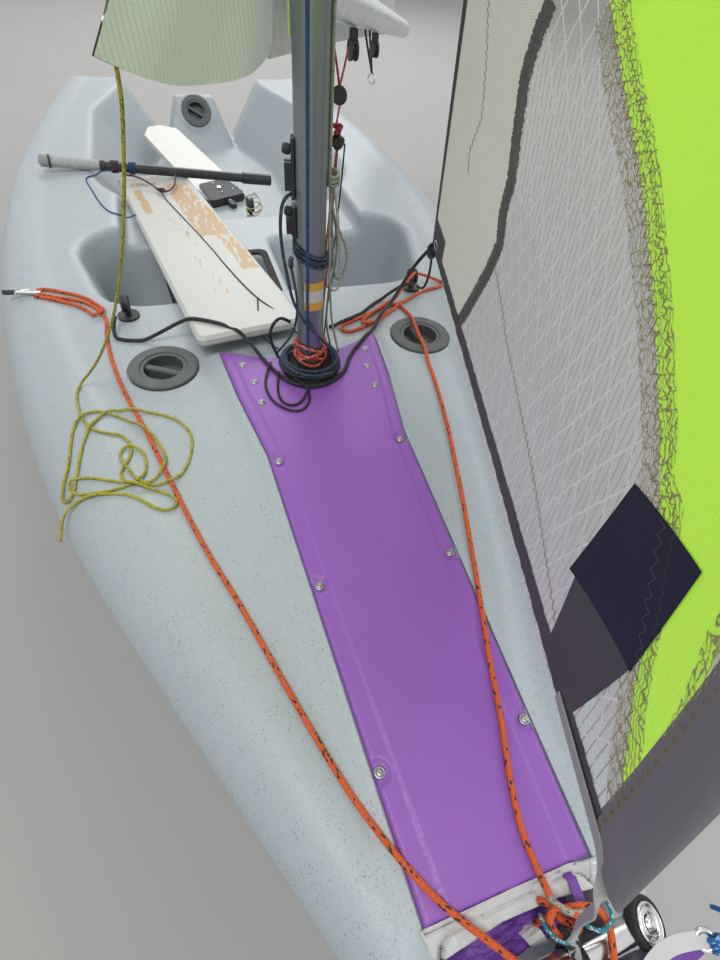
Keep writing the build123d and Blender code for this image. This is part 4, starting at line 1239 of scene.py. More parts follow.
# %% Jib layers
BAND_ROUTE = [(0.763, 0.149), (0.775, 0.139), (0.781, 0.123), (0.774, 0.115), (0.759, 0.100), (0.741, 0.085),
              (0.738, 0.070), (0.719, 0.058), (0.732, 0.041), (0.762, 0.020), (0.794, 0.0015)]
LIME_EDGE = [(0.031, 0.015), (0.054, 0.023), (0.075, 0.033), (0.090, 0.037), (0.110, 0.046), (0.171, 0.071),
             (0.207, 0.072), (0.222, 0.078), (0.259, 0.084), (0.315, 0.094), (0.387, 0.106), (0.441, 0.116),
             (0.482, 0.123), (0.528, 0.130), (0.580, 0.140), (0.638, 0.153), (1.0, 0.235)]
# These two give u by s, the other way round.
LIME_LUFF = [(0.015, 0.030), (0.034, 0.0305), (0.054, 0.041), (0.065, 0.049), (0.076, 0.062), (0.34, 0.080)]
WHITE_EDGE = [(0.005, 0.177), (0.022, 0.188), (0.035, 0.224), (0.036, 0.270), (0.039, 0.333), (0.045, 0.391),
              (0.060, 0.471), (0.085, 0.741)]
WHITE_ROWS = [0.0, 0.004, 0.008, 0.013, 0.018, 0.024, 0.030, 0.035, 0.040, 0.048, 0.056, 0.065, 0.075, 0.085]
LIME_TOP = 0.36
CREAM_TOP = 0.228

band_by_height = sorted((s, u) for u, s in BAND_ROUTE)
lime_by_height = [(s, u) for u, s in LIME_EDGE]


def lime_edge(s):
    return between_points(lime_by_height, s)


def band_line(s):
    return between_points(band_by_height, s)


jib_film = jib_sheet("jib", lambda s: 0.0, lambda s: 1.0, jib_rows(0.0, JIB_TOP, 0.0035, 0.03), 60, 0.0,
                     film_clear)
jib_sheet("jib_lime_panel", lambda s: min(between_points(LIME_LUFF, s), lime_edge(s) - 0.001), lime_edge,
          jib_rows(0.0155, LIME_TOP, 0.0035, 0.02), 40, LAYER, film_lime)
cream_rows = [s for s in jib_rows(0.0, LIME_TOP, 0.004, 0.02) if s < CREAM_TOP] + [CREAM_TOP]
jib_sheet("jib_cream_panel", lambda s: min(band_line(s), lime_edge(s) if s > 0.15 else 1.0), lambda s: 1.0,
          cream_rows, 16, LAYER, film_cream)
jib_sheet("jib_white_strip", lambda s: between_points(WHITE_EDGE, s), band_line, WHITE_ROWS, 30, LAYER,
          film_white)
print("jib sheets are made")

# %% [markdown]
# The tapes, patches and threads that hold the panels together are ribbons on the same surface. The edge
# of the lime panel has lost its stitching, so its threads lie loose over it.

# %% Jib tapes, patches and stitching
# The wavy band is a dark strip with frayed edges along the edge of the cream panel.
jib_ribbon("jib_wavy_band", BAND_ROUTE, 0.046, dark_wavy_band, 0.006, 0.002, 4)
jib_ribbon("jib_foot_tape", [(k / 40, 0.0042) for k in range(1, 41)], 0.028, tape_dark, 0.008, 0.0015, 7)
jib_ribbon("jib_leech_tape", [(0.996, 0.001 + k * 0.983 / 60) for k in range(61)], 0.013, tape_dark, 0.02)
jib_ribbon("jib_seam_upper", [(0.05 + k * 0.945 / 20, LIME_TOP) for k in range(21)], 0.02, webbing, 0.02)
jib_ribbon("jib_loose_yarns", [pair for pair in LIME_EDGE if pair[0] < 0.9], 0.052, yarns, 0.008)
jib_ribbon("jib_loose_yarns_luff", [(u, s) for s, u in LIME_LUFF], 0.030, yarns, 0.01)
jib_patch("jib_navy_patch", [(0.226, 0.065), (0.107, 0.078), (0.106, 0.040), (0.241, 0.025)], 3, navy)
jib_patch("jib_dark_patch", [(0.205, 0.003), (0.232, 0.031), (0.106, 0.044), (0.128, 0.003)], 2.4, tape_dark)
jib_patch("jib_corner_patch", [(0.122, 0.003), (0.137, 0.037), (0.100, 0.037), (0.045, 0.004)], 2.6, lilac)
for number, (low_u, low_s, high_u, high_s) in enumerate([(0.10, 0.125, 0.90, 0.252),
                                                         (0.09, 0.20, 0.93, 0.305)]):
    dashes = Shape()
    for step in range(0, 26, 2):
        shares = [(step + k / 3) / 26 for k in range(4)]
        route = [(low_u + (high_u - low_u) * share, low_s + (high_s - low_s) * share) for share in shares]
        dashes.add([jib_at(u, s + side, 2 * LAYER) for u, s in route for side in (-0.0018, 0.0018)],
                   [(2 * k, 2 * k + 1, 2 * k + 3, 2 * k + 2) for k in range(3)])
    dashes.made("jib_draft_stripe_" + str(number + 1), thread_black)
for name, route, width, pitch, radius in [
        ("wavy", BAND_ROUTE, 0.006, 0.005, 0.0005), ("edge", LIME_EDGE[:16], 0.010, 0.007, 0.0006),
        ("edge_outer", [(u - 0.012, s + 0.004) for u, s in LIME_EDGE[3:16]], 0.007, 0.006, 0.0005),
        ("cream", [(0.93, 0.145), (0.90, 0.120), (0.88, 0.098), (0.90, 0.080), (0.885, 0.066)],
         0.006, 0.006, 0.0005),
        ("strip", [(0.71, 0.048), (0.60, 0.034), (0.50, 0.027), (0.40, 0.022), (0.30, 0.016), (0.20, 0.010)],
         0.007, 0.007, 0.0006)]:
    jib_zigzag("jib_stitch_" + name, route, width, pitch, radius)
print("the jib is stitched")

# %% Jib luff sleeve, clew and tack
SLEEVE_WIDTH = 0.057
# The sleeve's own section: share of its width from the luff, and lift from the cloth.
SLEEVE_SIDE = [(1.0, 0.0008), (0.6, 0.0032), (0.25, 0.0050), (0.06, 0.0046), (-0.06, 0.0022)]
SLEEVE = [(share, -lift) for share, lift in SLEEVE_SIDE] + [(-0.09, 0.0)] + SLEEVE_SIDE[::-1]


def sleeve_corner(step, s):
    """A point of the sleeve, which wraps round the luff, and its place on the flat cloth."""
    share, lift = SLEEVE[step]
    chord = jib_plain(1.0, s) - jib_plain(0.0, s)
    width = min(SLEEVE_WIDTH, 0.8 * chord.length)
    place = jib_at(max(share * width / chord.length, 0.0), s, lift)
    return place + chord.normalized() * min(share * width, 0.0), (step * 0.006, s * JIB_LUFF_LENGTH)


cloth("jib_luff_sleeve", sleeve_corner, jib_rows(0.0, JIB_TOP, 0.006, 0.02), len(SLEEVE) - 1, sleeve_finish)
sleeve_route = [(0.040, 0.004), (0.040, 0.03), (0.0405, 0.07), (0.042, 0.15), (0.048, 0.35), (0.07, 0.6)]
jib_zigzag("jib_stitch_sleeve", sleeve_route, 0.008, 0.008, 0.0006, 0.0022)
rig.replaces(jib_film, "jib")
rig.slot(jib_film, "sailcloth")

jib_patch("jib_clew_patch", [(0.93, 0.001), (0.93, 0.021), (0.999, 0.024), (0.999, 0.001)], 3, tape_dark, 6)


eye = Shape()
clew_place = jib_at(0.978, 0.006)
clew_normal = (jib_at(0.978, 0.006, 0.01) - clew_place).normalized()
add_eyelet(eye, (0.0070, 0.0075, 0.0125, 0.0135), 0.0022, 0.0022, facing(clew_place, clew_normal), 20)
eye.made("jib_clew_eyelet", steel)
jib_extra = [made for made in pieces_made if made.name.startswith("jib") and made is not jib_film]
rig.sheet(jib_film, flat=(1.30, 3.08), held="stretched", rests_on=(), area=1.85, with_pieces=jib_extra)
print("jib pieces:", len(jib_extra) + 1)

# %% [markdown]
# ## The mainsail
# The mainsail is laced to the mast track and pulled out along the boom, but its lower front corner is
# still loose and someone has pulled it out to starboard. Its luff stays with the mast, and a short way
# behind the mast the cloth blends over to the boom, so that it swings with it.

# %% Mainsail
# Each row: share of the height, x, y and z of the luff there, and how far the sail bellies out.
MAIN_LUFF = [(0.0, -0.065, -0.042, 0.980, 0.020), (0.035, -0.062, -0.042, 1.140, 0.020),
             (0.12, -0.0353, -0.0015, 1.420, -0.050), (0.45, -0.0353, -0.0015, 2.900, -0.110),
             (0.75, -0.0353, -0.0015, 4.250, -0.070), (1.0, -0.0353, -0.0015, 5.400, -0.004)]
BOOM_PIN = Vector((-0.052, 0.0, 1.06))
BOOM_YAW = math.radians(180.0 - 26.3)
BOOM_DROOP = math.radians(8.8)


def boom_at(distance, side=0.0, up=0.0):
    """Point at a distance along the boom, moved sideways and up."""
    flat = distance * math.cos(BOOM_DROOP) + up * math.sin(BOOM_DROOP)
    x = BOOM_PIN.x + flat * math.cos(BOOM_YAW) - side * math.sin(BOOM_YAW)
    y = flat * math.sin(BOOM_YAW) + side * math.cos(BOOM_YAW)
    return Vector((x, y, BOOM_PIN.z - distance * math.sin(BOOM_DROOP) + up * math.cos(BOOM_DROOP)))


MAIN_CLEW = boom_at(1.992, 0.039, -0.020)
MAIN_HEAD = Vector((-0.0961, 0.008, 5.400))


def main_at(u, share, lift=0.0):
    """A point of the mainsail: u from luff to leech, share from foot to head."""
    *luff, belly = [between_points([(row[0], row[column]) for row in MAIN_LUFF], share)
                    for column in (1, 2, 3, 4)]
    luff = Vector(luff)
    leech = MAIN_CLEW + (MAIN_HEAD - MAIN_CLEW) * share + Vector((-0.30, 0.15, 0.0)) * (share * (1 - share))
    chord = leech - luff
    across = Vector((-chord.y, chord.x, 0.0)).normalized()
    return luff + chord * u + across * (belly * (4 * u * (1 - u)) + lift)


def main_sheet(name, u0, u1, s0, s1, columns, rows, layers, finish):
    """A four-sided part of the mainsail."""
    def corner_at(column, row):
        share = s0 + (s1 - s0) * row / rows
        u = u0 + (u1 - u0) * column / columns
        return main_at(u, share, layers * LAYER), (u * (2.0 * (1 - share) + 0.06), share * 4.5)

    return cloth(name, corner_at, range(rows + 1), columns, finish, None)


main_scrim = laminate("main_scrim", (0.72, 0.74, 0.73), 0.66, ((0.55, 0.53, 0.47), 0.016, 0.12, 0.95),
                      ((0.82, 0.82, 0.80), 0.045, 0.06, 1.0), ((0.74, 0.74, 0.72), 0.006, 0.2, 0.7))
main_cream = laminate("main_cream", (0.74, 0.75, 0.72), 0.97, ((0.50, 0.48, 0.42), 0.008, 0.14, 1.0), None,
                      ((0.66, 0.65, 0.61), 0.004, 0.25, 1.0), 0.5)
# Painted light: the cream cloth glows a little, standing for the light that comes through it from behind.
main_cream.glow((0.66, 0.70, 0.72), 0.16)
mainsail = main_sheet("mainsail", 0.0, 1.0, 0.0, 1.0, 40, 90, 0, main_scrim)
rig.replaces(mainsail, "mainsail")
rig.slot(mainsail, "sailcloth")
main_rows = [
    ("foot_panel", 0.0, 1.0, 0.0, 0.07, 40, 8, 2, main_cream),
    ("foot_tape", 0.0, 1.0, 0.0, 0.0075, 60, 1, 4, tape_dark),
    ("luff_tape", 0.0, 0.022, 0.0, 0.99, 2, 80, 4, webbing),
    ("leech_tape", 0.988, 1.0, 0.0, 0.99, 2, 80, 4, tape_dark),
    ("lime_band", 0.0, 1.0, 0.30, 0.40, 40, 10, 2, film_lime),
    ("head_panel", 0.0, 1.0, 0.90, 1.0, 20, 10, 2, main_cream),
    ("clew_patch", 0.90, 1.0, 0.0, 0.045, 8, 6, 6, navy)]
main_rows += [("batten_" + str(number + 1), start, 1.0, share, share + 0.009, 24, 1, 6, webbing)
              for number, (start, share) in enumerate([(0.52, 0.27), (0.52, 0.50), (0.52, 0.70), (0.02, 0.86)])]
main_rows += [("seam_" + str(number + 1), 0.0, 1.0, share, share + 0.005, 30, 1, 5, thread_white)
              for number, share in enumerate((0.16, 0.58, 0.79))]
main_parts = [main_sheet("main_" + name, *settings) for name, *settings in main_rows]
print("mainsail parts:", len(main_parts) + 1)

# %% Loose corner of the mainsail
CORNER = Vector((0.198, -0.252, 1.030))
CORNER_LOW = Vector((-0.074, -0.038, 0.985))
CORNER_HIGH = Vector((-0.050, -0.002, 1.400))
FLAP_NORMAL = Vector((0.6, 0.8, 0.0))


def flap_sheet(name, inner, outer, foot, top, layers, finish, columns=24, rows=18):
    """Part of the loose corner: inner to outer away from the mast, foot to top along the mast."""
    def corner_at(column, row):
        up = foot + (top - foot) * row / rows
        root = CORNER_LOW.lerp(CORNER_HIGH, up)
        share = inner + (outer - inner) * column / columns
        fold = 0.010 * math.sin(9 * share + 5 * up) * share * (1 - share) * 4
        sag = -0.030 * 4 * share * (1 - share) * (1 - up)
        place = root.lerp(CORNER.lerp(CORNER_HIGH, up), share) + FLAP_NORMAL * (fold - layers * LAYER)
        return place + Vector((0.0, 0.0, sag)), (share * 0.36 * (1 - up), up * 0.42)

    return cloth(name, corner_at, range(rows + 1), columns, finish, None)


main_parts += [
    flap_sheet("main_corner", 0.0, 1.0, 0.0, 1.0, 0, main_cream),
    flap_sheet("main_corner_foot_band", 0.0, 1.0, 0.0, 0.065, 2, tape_dark, 24, 2),
    flap_sheet("main_corner_lime_strip", 0.52, 0.60, 0.0, 1.0, 2, film_lime, 3, 18),
    flap_sheet("main_corner_patch", 0.60, 0.86, 0.065, 0.30, 3, tape_dark, 8, 5),
    flap_sheet("main_corner_eyelet_strip", 0.94, 1.0, 0.0, 1.0, 4, webbing, 3, 18),
]
rings = Shape()
for up in (0.05, 0.27, 0.50, 0.74):
    tip = CORNER.lerp(CORNER_HIGH, up)
    place = CORNER_LOW.lerp(CORNER_HIGH, up).lerp(tip, 0.965) + Vector((-0.001, -0.002, 0.0))
    add_eyelet(rings, (0.0042, 0.0045, 0.0085, 0.0092), 0.002, 0.002, facing(place, FLAP_NORMAL), 18)
for part in [mainsail] + main_parts:
    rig.blend(part, "boat", "boom", start=(-0.020, 0.0, 3.0), end=(-0.180, 0.070, 3.0))
main_parts.append(rings.made("main_corner_eyelets", steel))
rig.sheet(mainsail, flat=(2.06, 4.46), held="stretched", rests_on=("boom_tube", "mast_upper"), area=5.0,
         with_pieces=main_parts)
print("mainsail pieces:", len(main_parts) + 1)

# %% [markdown]
# ## Ropes
# Braided rope shows its strands as a lattice of small bumps, with dark tracer threads in some of them.
# The ropes that lie on the deck are let down onto it: a ray finds the surface under each point, and
# where a rope crosses one laid before it, it climbs over.


# %% Rope finishes
def braided(name, colour, fleck, share, around=6.0, along=250.0):
    """Braided rope with some strands in another colour, and painted shade in the grooves between the strands."""
    made = Finish(name, colour, 0.62)
    strands = made.group("braid", {"Vector": made.metres, "Around": around, "Along": along})
    tone = made.mix(made.maths("LESS_THAN", strands["Cell"], share), colour, fleck)
    # Painted shade: the grooves between the strands, where the braid is low, are darkened.
    tone = made.mix(made.between(strands["Height"], 0.0, 0.35, 0.6, 0.0), tone, dimmed(colour, 0.35))
    made.colour(made.over(tone, made.smudges(18.0, 0.5)["Mask"], 0.3, dimmed(colour, 0.6, 0.08)))
    made.bump(strands["Height"], 0.8, 0.0011)
    return made


rope_orange = braided("rope_orange", (0.86, 0.145, 0.030), (0.03, 0.02, 0.02), 0.10, 7.0, 150.0)
rope_yellow = braided("rope_yellow", (0.62, 0.55, 0.055), (0.27, 0.25, 0.04), 0.22, 6.0, 230.0)
rope_black = braided("rope_black", (0.017, 0.018, 0.022), (0.07, 0.07, 0.08), 0.10, 7.0, 150.0)
rope_blue = braided("rope_blue", (0.015, 0.105, 0.30), (0.01, 0.03, 0.10), 0.2, 6.0, 230.0)
rope_navy = braided("rope_navy", (0.030, 0.050, 0.095), (0.12, 0.16, 0.24), 0.15, 6.0, 230.0)
rope_red = braided("rope_red", (0.52, 0.018, 0.030), (0.50, 0.42, 0.42), 0.10, 6.0, 260.0)
rope_grey = braided("rope_grey", (0.50, 0.50, 0.45), (0.24, 0.30, 0.20), 0.22)
rope_white = braided("rope_white", (0.62, 0.60, 0.52), (0.40, 0.32, 0.20), 0.10)
rope_teal = braided("rope_teal", (0.030, 0.32, 0.42), (0.75, 0.78, 0.76), 0.30, 5.0, 300.0)
rope_red_orange = braided("rope_red_orange", (0.70, 0.075, 0.030), (0.60, 0.55, 0.50), 0.16, 6.0, 240.0)
rope_bright = braided("rope_bright_blue", (0.015, 0.20, 0.62), (0.45, 0.60, 0.80), 0.12, 6.0, 220.0)
rope_maroon = braided("rope_maroon", (0.085, 0.018, 0.030), (0.20, 0.16, 0.16), 0.2, 6.0, 260.0)
print("rope finishes are made")


# %% Laying ropes on the boat
def surface_under(objects):
    """A ray-tracing tree of the surfaces that ropes and cloth may rest on."""
    whole = Shape()
    for obj in objects:
        whole.add([obj.matrix_world @ corner.co for corner in obj.data.vertices],
                  [face.vertices for face in obj.data.polygons])
    return BVHTree.FromPolygons(whole.corners, whole.faces)


bpy.context.view_layer.update()
deck = surface_under([hull_shell, panel_piece] + [frame["nodes"][node] for node in (
    "hatch_rims", "mast_collar", "hatch_lid_fore_port", "hatch_lid_fore_starboard", "daggerboard",
    "jib_sheet_blocks")])
LAID = []
RAY_ABOVE = 0.045
RAY_LENGTH = 0.11
STEEPEST = 0.5


def lid_circle(node):
    """Middle, radius and top of a hatch lid, with room to turn under a rope."""
    corners = [corner.co for corner in frame["nodes"][node].data.vertices]
    low = Vector([min(corner[axis] for corner in corners) for axis in range(3)])
    high = Vector([max(corner[axis] for corner in corners) for axis in range(3)])
    return (low + high) / 2, (high.x - low.x) / 2 + 0.005, high.z + 0.001


LIDS = [lid_circle("hatch_lid_fore_port"), lid_circle("hatch_lid_fore_starboard")]


def deck_height(x, y, z):
    """Height of the surface just above or below a place, or None."""
    hit = deck.ray_cast(Vector((x, y, z + RAY_ABOVE)), Vector((0.0, 0.0, -1.0)), RAY_LENGTH)
    if hit[0] is None:
        return None
    height = hit[0].z
    for middle, radius, top in LIDS:
        if math.hypot(x - middle.x, y - middle.y) < radius:
            height = max(height, top)
    return height


def let_down(line, diameter, near):
    """Rests a line on the deck and lifts it over what was laid before, itself included."""
    radius = diameter / 2
    heights = []
    resting = []
    for point in line:
        ground = deck_height(point.x, point.y, point.z)
        gap = near if ground is None else point.z - radius - ground
        resting.append(gap < near)
        heights.append(ground + radius + near * (max(gap, 0.0) / near) ** 3 if gap < near else point.z)
    own_gap = max(3, int(3.2 * diameter / (line[1] - line[0]).length))
    for index, point in enumerate(line):
        below = [(other, radius + other_radius) for other, other_radius in LAID]
        below += [(Vector((line[k].x, line[k].y, heights[k])), diameter) for k in range(index - own_gap)]
        for other, apart in below:
            flat = math.hypot(other.x - point.x, other.y - point.y)
            if flat < apart and abs(other.z - heights[index]) < 0.03:
                heights[index] = max(heights[index], other.z + math.sqrt(apart * apart - flat * flat) + 0.0003)
    step = STEEPEST * (line[1] - line[0]).length
    last = len(line) - 1
    for order, before in ((range(last - 1, -1, -1), 1), (range(1, last + 1), -1)):
        for index in order:
            if resting[index] and resting[index + before]:
                heights[index] = max(heights[index], heights[index + before] - step)
    crest = [max(heights[max(0, k - 1):k + 2]) if resting[k] else heights[k] for k in range(last + 1)]
    for turn in range(3):
        crest = [crest[k] if k in (0, last) else (crest[k - 1] + 2 * crest[k] + crest[k + 1]) / 4
                 for k in range(last + 1)]
    return [Vector((point.x, point.y, height)) for point, height in zip(line, crest)]


def laid_rope(name, points, diameter, finish, spacing=0.005, near=0.030, sides=10):
    """A rope on the deck. Gives the piece and its line."""
    line = let_down(nurbs_line(points, spacing), diameter, near)
    LAID.extend((point, diameter / 2) for point in line[::2])
    return tubes(name, [line], diameter / 2, finish, sides=sides), line


def free_cord(rope_and_line, diameter, far_end, lay="loose", stiffness="medium", with_pieces=()):
    """Declares a free rope with its own length and route."""
    made, line = rope_and_line
    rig.cord(made, exit=line[0], length=line_length(line), diameter=diameter, far_end=far_end,
            stiffness=stiffness, lay=lay, path=line, with_pieces=with_pieces)
    print(made.name, "is", round(line_length(line), 2), "m long")


def cords(name, routes, spacing, radius, finish, sides=8, body="boat"):
    """One piece of several short cords through given points."""
    return tubes(name, [nurbs_line(points, spacing) for points in routes], radius, finish, body, sides)


orange_starboard = laid_rope("orange_sheet_starboard", mm(
    951, -17, 385, 951, -18, 420, 950, -22, 450, 930, -40, 459, 902, -64, 458, 870, -89, 456, 811, -121, 453,
    747, -148, 453, 648, -180, 455, 563, -205, 455, 474, -231, 456, 382, -263, 458, 304, -285, 459,
    185, -315, 461, 63, -345, 463, -32, -375, 463, -144, -397, 464, -233, -406, 464, -294, -403, 464,
    -345, -420, 464, -385, -452, 463, -408, -490, 462, -420, -534, 463, -430, -557, 463, -446, -560, 463,
    -453, -540, 463, -440, -500, 463, -406, -452, 463, -366, -424, 463, -338, -408, 463, -318, -414, 463,
    -320, -432, 463, -342, -443, 463, -372, -466, 463, -398, -502, 463, -412, -540, 463,
    -421, -560, 463), 0.008, rope_orange)
free_cord(laid_rope("orange_sheet_port", mm(
    941, 52, 462, 936, 38, 464, 926, 33, 463, 905, 36, 460, 880, 36, 458, 849, 36, 457, 799, 48, 459,
    734, 71, 461, 685, 84, 463, 603, 110, 467, 502, 146, 459, 385, 183, 462, 306, 205, 464, 231, 227, 465,
    85, 262, 467, -17, 278, 470, -132, 294, 476, -195, 300, 470, -226, 288, 468, -226, 262, 468,
    -205, 225, 470, -180, 175, 475, -162, 138, 478, -150, 112, 480, -130, 110, 480, -124, 130, 480,
    -136, 160, 478, -158, 205, 475, -195, 258, 470, -242, 320, 466, -282, 385, 464, -294, 436, 464,
    -306, 458, 464, -322, 458, 464, -328, 436, 464, -306, 374, 464, -252, 296, 468, -212, 242, 470,
    -188, 204, 474, -166, 172, 477, -148, 166, 477, -142, 186, 476, -156, 212, 474,
    -186, 238, 471), 0.008, rope_orange), 0.008, "bare")

# %% Snap hook at the end of the orange sheet
snap = Shape()
add_tube(snap, evenly(mm(-430, -545, 468.5, -436, -575, 469, -441, -600, 469), 0.004), 0.0065, 12, 0.75)
add_tube(snap, nurbs_line(mm(
    -426, -552, 469, -446, -556, 469, -450, -585, 469, -443, -604, 469, -432, -600, 469), 0.003), 0.0022, 8)
snap_hook = snap.made("sheet_snap_hook", steel)
free_cord(orange_starboard, 0.008, "fitting", with_pieces=[snap_hook])
tubes("sheet_snap_sleeve", [evenly(mm(
    -441, -600, 469, -450, -628, 467), 0.004)], 0.0058, black_plastic, sides=12)

# %% Black jib sheets
free_cord(laid_rope("jib_sheet", mm(
    -203, 343, 622, -232, 330, 580, -236, 300, 520, -212, 262, 480, -160, 215, 486, -86, 159, 492,
    -20, 92, 491, 28, 70, 497, 58, 30, 500, 66, -10, 500, 45, -52, 500, -5, -78, 491, -70, -100, 480,
    -133, -150, 476, -188, -226, 472, -191, -308, 468, -211, -381, 465, -240, -392, 470,
    -272, -380, 486), 0.008, rope_black, near=0.022), 0.008, "object")
free_cord(laid_rope("jib_sheet_second", mm(
    -275, 352, 492, -262, 325, 478, -262, 290, 468, -255, 250, 469, -205, 190, 472, -160, 140, 476,
    -150, 85, 480), 0.008, rope_black, near=0.022), 0.008, "bare")
rope("jib_sheet_drop", mm(
    -203, 345, 615, -206, 352, 575, -212, 354, 535, -226, 353, 500, -255, 352, 494), 0.006, rope_black)
laid_rope("foot_loop", mm(
    -22, -79, 492, 17, -104, 490, 77, -102, 488, 114, -76, 486, 123, -47, 486, 95, -23, 488, 60, -24, 505,
    41, -44, 510), 0.005, rope_black)
laid_rope("foot_loop_small", mm(
    10, -70, 494, 63, -87, 490, 103, -74, 490, 102, -41, 492, 66, -18, 505), 0.005, rope_black)
knot_rings = [ring(lambda a: (0.002 * turn - 0.200, 0.343 + 0.0085 * math.cos(a),
                              0.622 - 0.006 * turn + 0.0085 * math.sin(a)), 16) for turn in range(3)]
knot_end = nurbs_line(mm(-195, 345, 640, -190, 352, 668, -192, 350, 690), 0.004)
tubes("clew_knot", knot_rings + [knot_end], (0.0042, 0.0042, 0.0042, 0.004), rope_black)

# %% Yellow halyard and its heap
free_cord(laid_rope("yellow_halyard", mm(
    60, 6, 3560, 86, -40, 3200, 112, -110, 2500, 128, -180, 1700, 123, -222, 1058, 85, -270, 850,
    40, -330, 680, -20, -390, 560, -66, -432, 492, -79, -450, 467, -50, -462, 466, -10, -458, 467,
    28, -451, 468, 62, -434, 468, 76, -409, 465, 81, -382, 458, 114, -366, 458, 150, -372, 461,
    181, -389, 466, 206, -378, 462, 212, -348, 460, 201, -325, 458, 170, -308, 460, 123, -317, 461,
    71, -344, 461, 28, -388, 459, 7, -426, 465, 27, -456, 467, 57, -467, 465, 132, -473, 455, 169, -488, 437,
    196, -492, 430, 204, -474, 440, 180, -462, 452, 94, -448, 466, 51, -434, 468, 12, -410, 460,
    16, -373, 460, 40, -316, 463, 75, -274, 464, 123, -257, 464, 181, -271, 462, 215, -294, 460,
    221, -325, 458, 214, -353, 461, 163, -380, 463, 130, -390, 462, 110, -370, 459, 134, -346, 458,
    176, -344, 458, 206, -356, 460, 219, -392, 463, 212, -440, 458, 190, -474, 443, 166, -470, 448,
    176, -438, 460, 197, -401, 466, 223, -342, 458, 246, -306, 458, 274, -298, 457, 277, -330, 458,
    236, -366, 463, 220, -412, 463, 212, -462, 447, 226, -492, 425,
    257, -500, 405), 0.005, rope_yellow, 0.006, 0.022, 8),
          0.005, "bare", "loose", "limp")
print("ropes are laid on the deck")

# %% [markdown]
# ## At the mast
# Lines run down the mast, are wound round its foot and hang in loops beside it. Some are taut, so they
# are plain fixed pieces, and the loose ones are free cords.


# %% Lines on the mast
def round_mast(angle_degrees, z, radius):
    angle = math.radians(angle_degrees)
    return (radius * math.cos(angle), radius * math.sin(angle), z)


rope("mast_line_blue", [round_mast(-24 - 2 * math.sin(3 * z), z, 0.0284)
                        for z in (0.545, 0.7, 1.0, 1.5, 2.2, 3.0, 3.50)], 0.005, rope_blue)
for number, (angle, top, finish) in enumerate([(78, 5.44, rope_grey), (92, 5.42, rope_white),
                                               (104, 5.40, rope_grey)]):
    rope("mast_line_port_" + str(number + 1), [round_mast(angle + 3 * math.sin(2 * z), z, 0.0296)
                                               for z in (0.84, 1.1, 1.8, 2.6, 3.6, 4.6, top)], 0.0045, finish)
for number, (points, finish) in enumerate([
        (mm(
            -10, 31.5, 860, -10, 38, 835, -10, 36, 815, -10, 45, 783, -10, 58, 754, -10, 70, 730,
            -10, 70, 699, -10, 57, 671, -10, 47, 685, -10, 42, 726, -12, 40, 790), rope_grey),
        (mm(
            -4, 33.5, 850, -4, 34, 810, -2, 33, 767, -2, 35, 714, -3, 38, 663, -6, 43, 606, -10, 52, 559,
            -10, 64, 512), rope_white),
        (mm(
            -18, 33.5, 850, -20, 45, 790, -22, 55, 740, -22, 52, 690, -20, 42, 649, -20, 37, 600,
            -22, 40, 560, -24, 50, 520), rope_grey),
        (mm(
            2, 31.5, 856, 4, 40, 826, 4, 47, 780, 2, 52, 735, 4, 54, 692, 3, 53, 662, 3, 36, 660,
            4, 34.5, 700, 4, 33, 760), rope_white)]):
    free_cord(rope("halyard_tail_" + str(number + 1), points, 0.0045, finish), 0.0045, "bare", "hanging",
              "limp")
tubes("halyard_hitch", [ring(lambda a: (0.017 * math.cos(a) - 0.008, 0.037 + 0.009 * math.sin(a),
                                        z + 0.002 * math.sin(a)), 20) for z in (0.842, 0.848, 0.854)],
      0.0026, rope_grey)
free_cord(rope("mast_loop", mm(
    0, -31.5, 830, 12, -46, 832, 14, -54, 800, 14, -53, 754, 16, -46, 706, 22, -38, 654, 33, -14, 612,
    34, 18, 576, 28, 40, 540, 20, 50, 515), 0.0055, rope_navy), 0.0055, "object", "hanging")
hitch_turns = [[Vector(round_mast(a, height + 0.012 * math.sin(math.radians(a - 150)), 0.0288))
                for a in range(12 * turn - 200, 12 * turn + 165, 12)]
               for turn, height in enumerate((0.728, 0.737, 0.744))]
hitch_end = nurbs_line(mm(0, -34, 728, 10, -40, 724, 12, -36, 716, 4, -36, 722), 0.003)
tubes("mast_hitch", hitch_turns + [hitch_end], (0.0024, 0.0024, 0.0024, 0.0042), rope_navy)
free_cord(rope("mast_hitch_tail", mm(
    6, -36.5, 716, 22, -33.5, 690, 26, -30, 646, 20, -36, 600, 8, -48, 566,
    -4, -66, 536), 0.0045, rope_navy), 0.0045, "bare", "hanging", "limp")
rope("black_side_loop", mm(
    -22, -62, 507, -30, -73, 535, -30, -77, 563, -30, -64, 590, -30, -48, 596,
    -28, -34, 584), 0.0065, rope_black)
print("lines on the mast are in place")


# %% Windings round the foot of the mast
def coil(turns, phase, radius_at, height_at, steps=150):
    """A winding about the mast, with its radius and height given by its share and its angle."""
    line = []
    for step in range(steps + 1):
        share = step / steps
        angle = math.tau * turns * share + phase
        radius = radius_at(share, angle)
        line.append(Vector((radius * math.cos(angle), radius * math.sin(angle), height_at(share, angle))))
    return line


